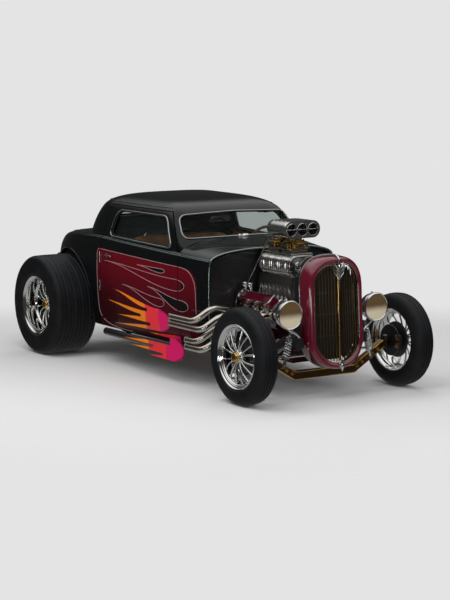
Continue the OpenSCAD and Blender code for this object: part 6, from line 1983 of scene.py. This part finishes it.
def build_seats(looks):
    """A pleated bench in two pads. Both are puffed as cloth, subdivided, then seamed."""
    seat = cushion_object("seat_pad", "body", [-334, -522, 334], [118, 522, 548], 0.0, 0.018)
    subdivided(seat)
    pleat(seat, 1, looks.pleat_pitch, 0.012, (0, 0, 1), 0.46, 0.0)
    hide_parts("seat_cushion")
    back = cushion_object("seat_back_pad", "body", [-508, -522, 340], [-398, 522, 1068], -0.10, 0.014)
    subdivided(back)
    pleat(back, 1, looks.pleat_pitch, 0.012, (1, 0, 0), 0.46, 0.0)
    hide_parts("seat_back")


def build_cabin(looks):
    shape = Shape()
    hub = np.array([258.0, 345.0, 1005.0])
    dip = math.radians(24)
    axis = np.array([-math.cos(dip), 0, math.sin(dip)])
    u = np.array([0, 1.0, 0])
    v = np.cross(axis, u)
    a = circle(96)
    rim = hub + 170 * (np.cos(a)[:, None] * u + np.sin(a)[:, None] * v)
    shape.add(tube(rim, 11.5 + 0.8 * np.sin(a * 24), 18, True), 0)
    for k in range(3):
        t = math.radians(90 + 120 * k)
        out = math.cos(t) * u + math.sin(t) * v
        across = np.cross(axis, out)
        for s in (-1, 1):
            shape.add(tube([hub + out * 22 + across * 6 * s, hub + out * 164 + across * 10 * s], 3.4, 10), 1)
        for r in (60, 90, 120):
            ring = hub + out * r + 5.5 * (np.cos(circle(20))[:, None] * out + np.sin(circle(20))[:, None] * across)
            shape.add(tube(ring, 1.4, 6, True), 1)
    shape.add(lathe([[0, -16], [24, -16], [29, -6], [29, 8], [22, 14], [0, 16]], hub, axis, 40), 1)
    shape.add(lathe([[0, 14], [16, 14], [14, 18], [0, 19]], hub, axis, 32), 2)
    shape.make("steering_rim", "steering_wheel", ["wheel_leather", "chrome", "gold"], ["steering_wheel"], "leather")
    dash = Shape()
    for y, r in ((345, 40), (250, 26), (160, 26), (0, 36), (-90, 26), (-180, 26)):
        at = [461, y if y != 345 else 430, 940]
        dash.add(lathe([[r - 2, 0], [r + 5, 0], [r + 5, 5], [r, 8], [r - 2, 5]], at, [-1, 0, 0], 40), 0)
        dash.add(lathe([[0, 0.4], [r, 0.4], [r, 2.5], [0, 2.5]], at, [-1, 0, 0], 36), 1)
        dash.add(placed(block([0, r * 0.35, 3.2], [1.6, r * 0.8, 1], 0.4), at, (0, 0.6, 0.8), (0, -0.8, 0.6), (-1, 0, 0)), 2)
    for y in (-260, -300, -340):
        dash.add(dome([460, y, 930], [-1, 0, 0], 10, 12), 0)
    # Mirror on its stalk behind the windscreen
    mirror = np.array([150.0, 0, 1232.0])
    dash.add(placed(slab(rectangle(200, 52, 24), -7, 7, 4), mirror, (0, 1, 0), (0.17, 0, 0.985), (-0.985, 0, 0.17)), 0)
    dash.add(placed(slab(rectangle(186, 40, 18), 6.5, 8, 0.6), mirror, (0, 1, 0), (0.17, 0, 0.985), (-0.985, 0, 0.17)), 3)
    dash.add(tube(spline([mirror + [6, 0, 10], mirror + [34, 0, 40], mirror + [70, 0, 72]], 20), 5, 10), 0)
    # Gear lever, pedals and door cards
    dash.add(tube(spline([[150, 0, 590], [160, 6, 700], [128, 10, 800]], 30), 7, 12), 0)
    dash.add(dome([128, 10, 800], [-0.3, 0, 1], 22, 26, 24), 4)
    dash.add(lathe([[0, 0], [46, 0], [30, 26], [12, 34], [0, 34]], [150, 0, 590], [0, 0, 1], 32), 5)
    for y in (270, 340, 410):
        dash.add(block([690, y, 420], [10, 46, 60], 4, (0.85, 0, -0.5), (0, 1, 0), (0.5, 0, 0.85)), 0)
        dash.add(tube([[700, y, 440], [740, y, 520], [790, y, 600]], 6, 10), 0)
    dash.make("cabin_fittings", "body", ["chrome", "dial", "red_lens", "reflector", "gold", "wheel_leather"], (), "chrome")
    lining = Shape()
    x = np.linspace(-520, 215, 50)
    y = np.linspace(-1, 1, 40)
    for side, name in ((1, "left"), (-1, "right")):
        card = Shape()
        grid = side_point(np.linspace(DOOR_REAR + 40, DOOR_FRONT - 45, 60)[None, :], np.linspace(1.0, 8.2, 50)[:, None])
        grid = grid * [1, 1, 1] + [0, -33, 0]
        wave = 3.0 * np.abs(np.sin(grid[..., 0] * math.pi / 62)) ** 0.6
        grid[..., 1] -= wave
        points, faces = grid_skin(grid if side == 1 else grid * [1, -1, 1], [0, 2000.0 * side, 700])
        card.add(thick(points, faces, -5.0), 0)
        card.make(f"door_card_{name}", f"door_{name}", ["leather"], (), "leather")


# ---------------------------------------------------------------- stage


def floor_finish(name):
    """Pale floor that fades out away from the car, so that it meets the plain background."""
    f = Finish(name)
    x, y = f.axis("X") - 0.1, f.axis("Y")
    away = (x * x + y * y).power(0.5)
    f.set(colour=worn(f, tuple(bpy.context.scene.hot_rod.backdrop), 0.004, 2.0), rough=0.95, specular=0.0,
          alpha=away.step(4.4, 2.7))
    return f.material


def build_stage(looks):
    """A pale floor, soft overhead and side light, a plain background and the camera."""
    r = np.linspace(0.0, 7000, 40)
    a = circle(96)
    grid = np.stack([100 + r[:, None] * np.cos(a), r[:, None] * np.sin(a), np.full((40, 96), -0.5)], -1)
    points, faces = sheet(grid[1:], False, True)
    points = np.concatenate([points, [[100, 0, -0.5]]])
    faces += [[j, (j + 1) % 96, len(points) - 1] for j in range(96)]
    mesh = bpy.data.meshes.new("studio_floor")
    mesh.from_pydata((points * 0.001).tolist(), [], faces)
    work = bmesh.new()
    work.from_mesh(mesh)
    bmesh.ops.recalc_face_normals(work, faces=work.faces)
    if sum(f.normal.z for f in work.faces) < 0:
        bmesh.ops.reverse_faces(work, faces=work.faces)
    work.to_mesh(mesh)
    work.free()
    mesh.materials.append(material("floor"))
    floor = bpy.data.objects.new("studio_floor", mesh)
    bpy.context.scene.collection.objects.link(floor)
    floor.visible_glossy = False
    target = np.array([0.2205, 0.0, 0.567])
    for name, place, size, power, seen in (
            ("key", (1.5, -3.0, 4.4), (5.0, 3.0), 112, False), ("fill", (5.5, 0.5, 2.6), (3.0, 2.5), 52, False),
            ("over", (0.2, 0.0, 4.2), (5.5, 0.7), 40, False), ("rim", (-3.6, 2.4, 3.2), (3.5, 0.8), 50, False),
            ("low", (3.2, -4.6, 0.55), (4.5, 0.25), 16, True)):
        lamp_data = bpy.data.lights.new(name, "AREA")
        lamp_data.shape, lamp_data.size, lamp_data.size_y, lamp_data.energy = "RECTANGLE", *size, power * looks.light
        light = bpy.data.objects.new(name, lamp_data)
        bpy.context.scene.collection.objects.link(light)
        light.location = place
        light.rotation_euler = aim(np.array(place), target)
        light.visible_glossy = seen
        light.visible_camera = False
    world = bpy.data.worlds.new("studio")
    bpy.context.scene.world = world
    world.use_nodes = True
    tree = world.node_tree
    tree.nodes.clear()

    def background(strength):
        node = tree.nodes.new("ShaderNodeBackground")
        node.inputs["Color"].default_value = (1.0, 1.0, 1.0, 1.0)
        if isinstance(strength, Val):
            tree.links.new(strength.socket, node.inputs["Strength"])
        else:
            node.inputs["Strength"].default_value = strength
        return node.outputs[0]

    def choose(ray, first, second):
        node = tree.nodes.new("ShaderNodeMixShader")
        for key, source in ((0, path.outputs[ray]), (1, first), (2, second)):
            tree.links.new(source, node.inputs[key])
        return node.outputs[0]

    path = tree.nodes.new("ShaderNodeLightPath")
    place = tree.nodes.new("ShaderNodeTexCoord")
    split = tree.nodes.new("ShaderNodeSeparateXYZ")
    tree.links.new(place.outputs["Generated"], split.inputs["Vector"])
    rise = Val(tree, split.outputs["Z"])
    mirrored_sky = 0.035 + 0.85 * rise.step(0.40, 0.66) + 0.26 * rise.step(-0.25, -0.5)
    plain = tree.nodes.new("ShaderNodeBackground")
    plain.inputs["Color"].default_value = (*looks.backdrop, 1.0)
    lit = choose("Is Glossy Ray", background(looks.world_light), background(mirrored_sky))
    tree.links.new(choose("Is Camera Ray", lit, plain.outputs[0]),
                   tree.nodes.new("ShaderNodeOutputWorld").inputs["Surface"])
    a, e, far = math.radians(56.5), math.radians(7.9), 14.0
    place = target + far * np.array([math.sin(a) * math.cos(e), -math.cos(a) * math.cos(e), math.sin(e)])
    lens = bpy.data.cameras.new("view")
    lens.sensor_fit, lens.sensor_height, lens.sensor_width, lens.lens = "VERTICAL", 36.0, 36.0, 102.7
    camera = bpy.data.objects.new("view", lens)
    bpy.context.scene.collection.objects.link(camera)
    camera.location = place
    camera.rotation_euler = aim(place, target)
    bpy.context.scene.camera = camera
    bpy.context.scene.view_settings.view_transform = "Standard"


def aim(place, target):
    """Turns that point an object's -Z at the target with its Y upright."""
    from mathutils import Vector
    return Vector(target - place).to_track_quat("-Z", "Y").to_euler()


# ---------------------------------------------------------------- the add-on


def colour(name, description, default):
    return bpy.props.FloatVectorProperty(name=name, description=description, default=default, min=0, max=1,
                                         subtype="COLOR", size=3)


def size(name, description, default):
    return bpy.props.FloatProperty(name=name, description=description, default=default, unit="LENGTH", subtype="DISTANCE")


class HotRodLooks(bpy.types.PropertyGroup):
    """Colours and small sizes of the finish, all linear colour values and metres"""

    black_paint: colour("Black paint", "Body and chassis lacquer", (0.004, 0.0045, 0.005))
    # The side field runs from the dark maroon below to the highlight maroon above as painted light.
    maroon_light: colour("Maroon, light", "Upper part of the side field", (0.120, 0.0015, 0.008))
    maroon_dark: colour("Maroon, dark", "Lower part of the side field and the engine's paint", (0.030, 0.002, 0.006))
    candy_red: colour("Candy red", "Radiator shell and rocker covers", (0.105, 0.002, 0.013))
    flame_rear: colour("Flame, rear", "Tongues of the flames", (0.90, 0.235, 0.002))
    flame_middle: colour("Flame, middle", "Middle band of the flames", (0.85, 0.028, 0.040))
    flame_front: colour("Flame, front", "Front band of the flames", (0.72, 0.001, 0.13))
    pinstripe: colour("Fine lines", "Outline of the licks", (0.36, 0.20, 0.21))
    bronze: colour("Bronze", "Drilled front axle", (0.22, 0.13, 0.05))
    brass: colour("Brass", "Carburettors", (0.50, 0.34, 0.12))
    leather: colour("Leather", "Bench and door cards", (0.60, 0.25, 0.075))
    rubber: colour("Rubber", "Tyres", (0.0065, 0.007, 0.008))
    backdrop: colour("Backdrop", "Floor and background", (0.775, 0.775, 0.78))
    window_bead: size("Window bead", "Radius of the beads round the windows", 0.0075)
    pinstripe_width: size("Line width", "Width of the fine painted lines", 0.0055)
    groove_depth: size("Groove depth", "Depth of the tyres' grooves", 0.007)
    pleat_pitch: size("Pleat pitch", "Distance between the bench's seams", 0.115)
    light: bpy.props.FloatProperty(name="Lamps", description="Strength of the studio lamps", default=1.0, min=0)
    world_light: bpy.props.FloatProperty(name="Surroundings", description="Strength of the soft surroundings",
                                         default=0.42, min=0)


class Build(bpy.types.Operator):
    """Base of the operators: each one builds its pieces and raises if it can't"""

    bl_idname = "hotrod.base"
    bl_label = "Base"
    bl_options = {"REGISTER", "UNDO"}
    work = None

    def execute(self, context):
        type(self).work(context.scene.hot_rod)
        return {"FINISHED"}


def operator(name, label, text, work):
    """An operator class for one group of pieces."""
    return type(f"HOTROD_OT_{name}", (Build,), {
        "__doc__": text, "bl_idname": f"hotrod.{name}", "bl_label": label, "work": staticmethod(work)})


OPERATORS = [
    operator("roof", "Roof", "Roof, pillars, window beads and drip rail", build_roof),
    operator("tail", "Tail", "Tail, quarter panels and wheel arches", build_rear),
    operator("lid", "Deck lid", "Deck lid with its handle and hinges", build_lid),
    operator("cowl", "Cowl", "Cowl with its beads and the fittings at the windscreen's foot", build_cowl),
    operator("doors", "Doors", "Both doors with their handles, hinges and beads", build_doors),
    operator("flames", "Flames", "Painted licks and fine lines on the sides", build_flames),
    operator("skirts", "Flame panels", "Sheet flames below the sills", build_skirts),
    operator("shell", "Radiator shell", "Radiator shell with its emblem", build_shell),
    operator("bars", "Grille bars", "Upright bars and the gold middle bar", build_bars),
    operator("lamps", "Lamps", "Headlamps, their lenses and the tail lamps", build_lamps),
    operator("tyres", "Tyres", "Grooved tyres", build_tyres),
    operator("wheels", "Wheels", "Rims, spokes, caps and brake discs", build_wheels),
    operator("chassis", "Chassis", "Coil-overs, axle trim and calipers; finishes of the kept parts", build_chassis),
    operator("covers", "Rocker covers", "Ribbed rocker covers", build_covers),
    operator("blower", "Blower", "Ribbed blower case", build_blower),
    operator("drive", "Blower drive", "Pulleys, belt, idler and pump", build_drive),
    operator("carbs", "Carburettors", "Two brass carburettors", build_carbs),
    operator("scoop", "Scoop", "Three-throat scoop", build_scoop),
    operator("headers", "Headers", "Swept header tubes", build_headers),
    operator("dress", "Engine fittings", "Leads, hoses, breathers, fan and bolts", build_engine_details),
    operator("seats", "Seats", "Pleated leather bench", build_seats),
    operator("cabin", "Cabin", "Steering wheel, dials, mirror, lever, pedals and door cards", build_cabin),
    operator("stage", "Stage", "Floor, lamps, background and camera", build_stage),
]


class HOTROD_PT_panel(bpy.types.Panel):
    """Sidebar panel with the looks and the builders"""

    bl_label = "Hot rod"
    bl_idname = "HOTROD_PT_panel"
    bl_space_type = "VIEW_3D"
    bl_region_type = "UI"
    bl_category = "Hot rod"

    def draw(self, context):
        for key in HotRodLooks.__annotations__:
            self.layout.prop(context.scene.hot_rod, key)
        for made in OPERATORS:
            self.layout.operator(made.bl_idname)


CLASSES = [HotRodLooks, *OPERATORS, HOTROD_PT_panel]


def register():
    for made in CLASSES:
        bpy.utils.register_class(made)
    bpy.types.Scene.hot_rod = bpy.props.PointerProperty(type=HotRodLooks)


def unregister():
    del bpy.types.Scene.hot_rod
    for made in reversed(CLASSES):
        bpy.utils.unregister_class(made)


def main():
    """Registers the add-on, runs its operators in order and writes the object's size before and after."""
    register()
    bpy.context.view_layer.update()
    for made in OPERATORS:
        getattr(bpy.ops.hotrod, made.bl_idname.split(".")[1])()


if __name__ == "__main__":
    main()
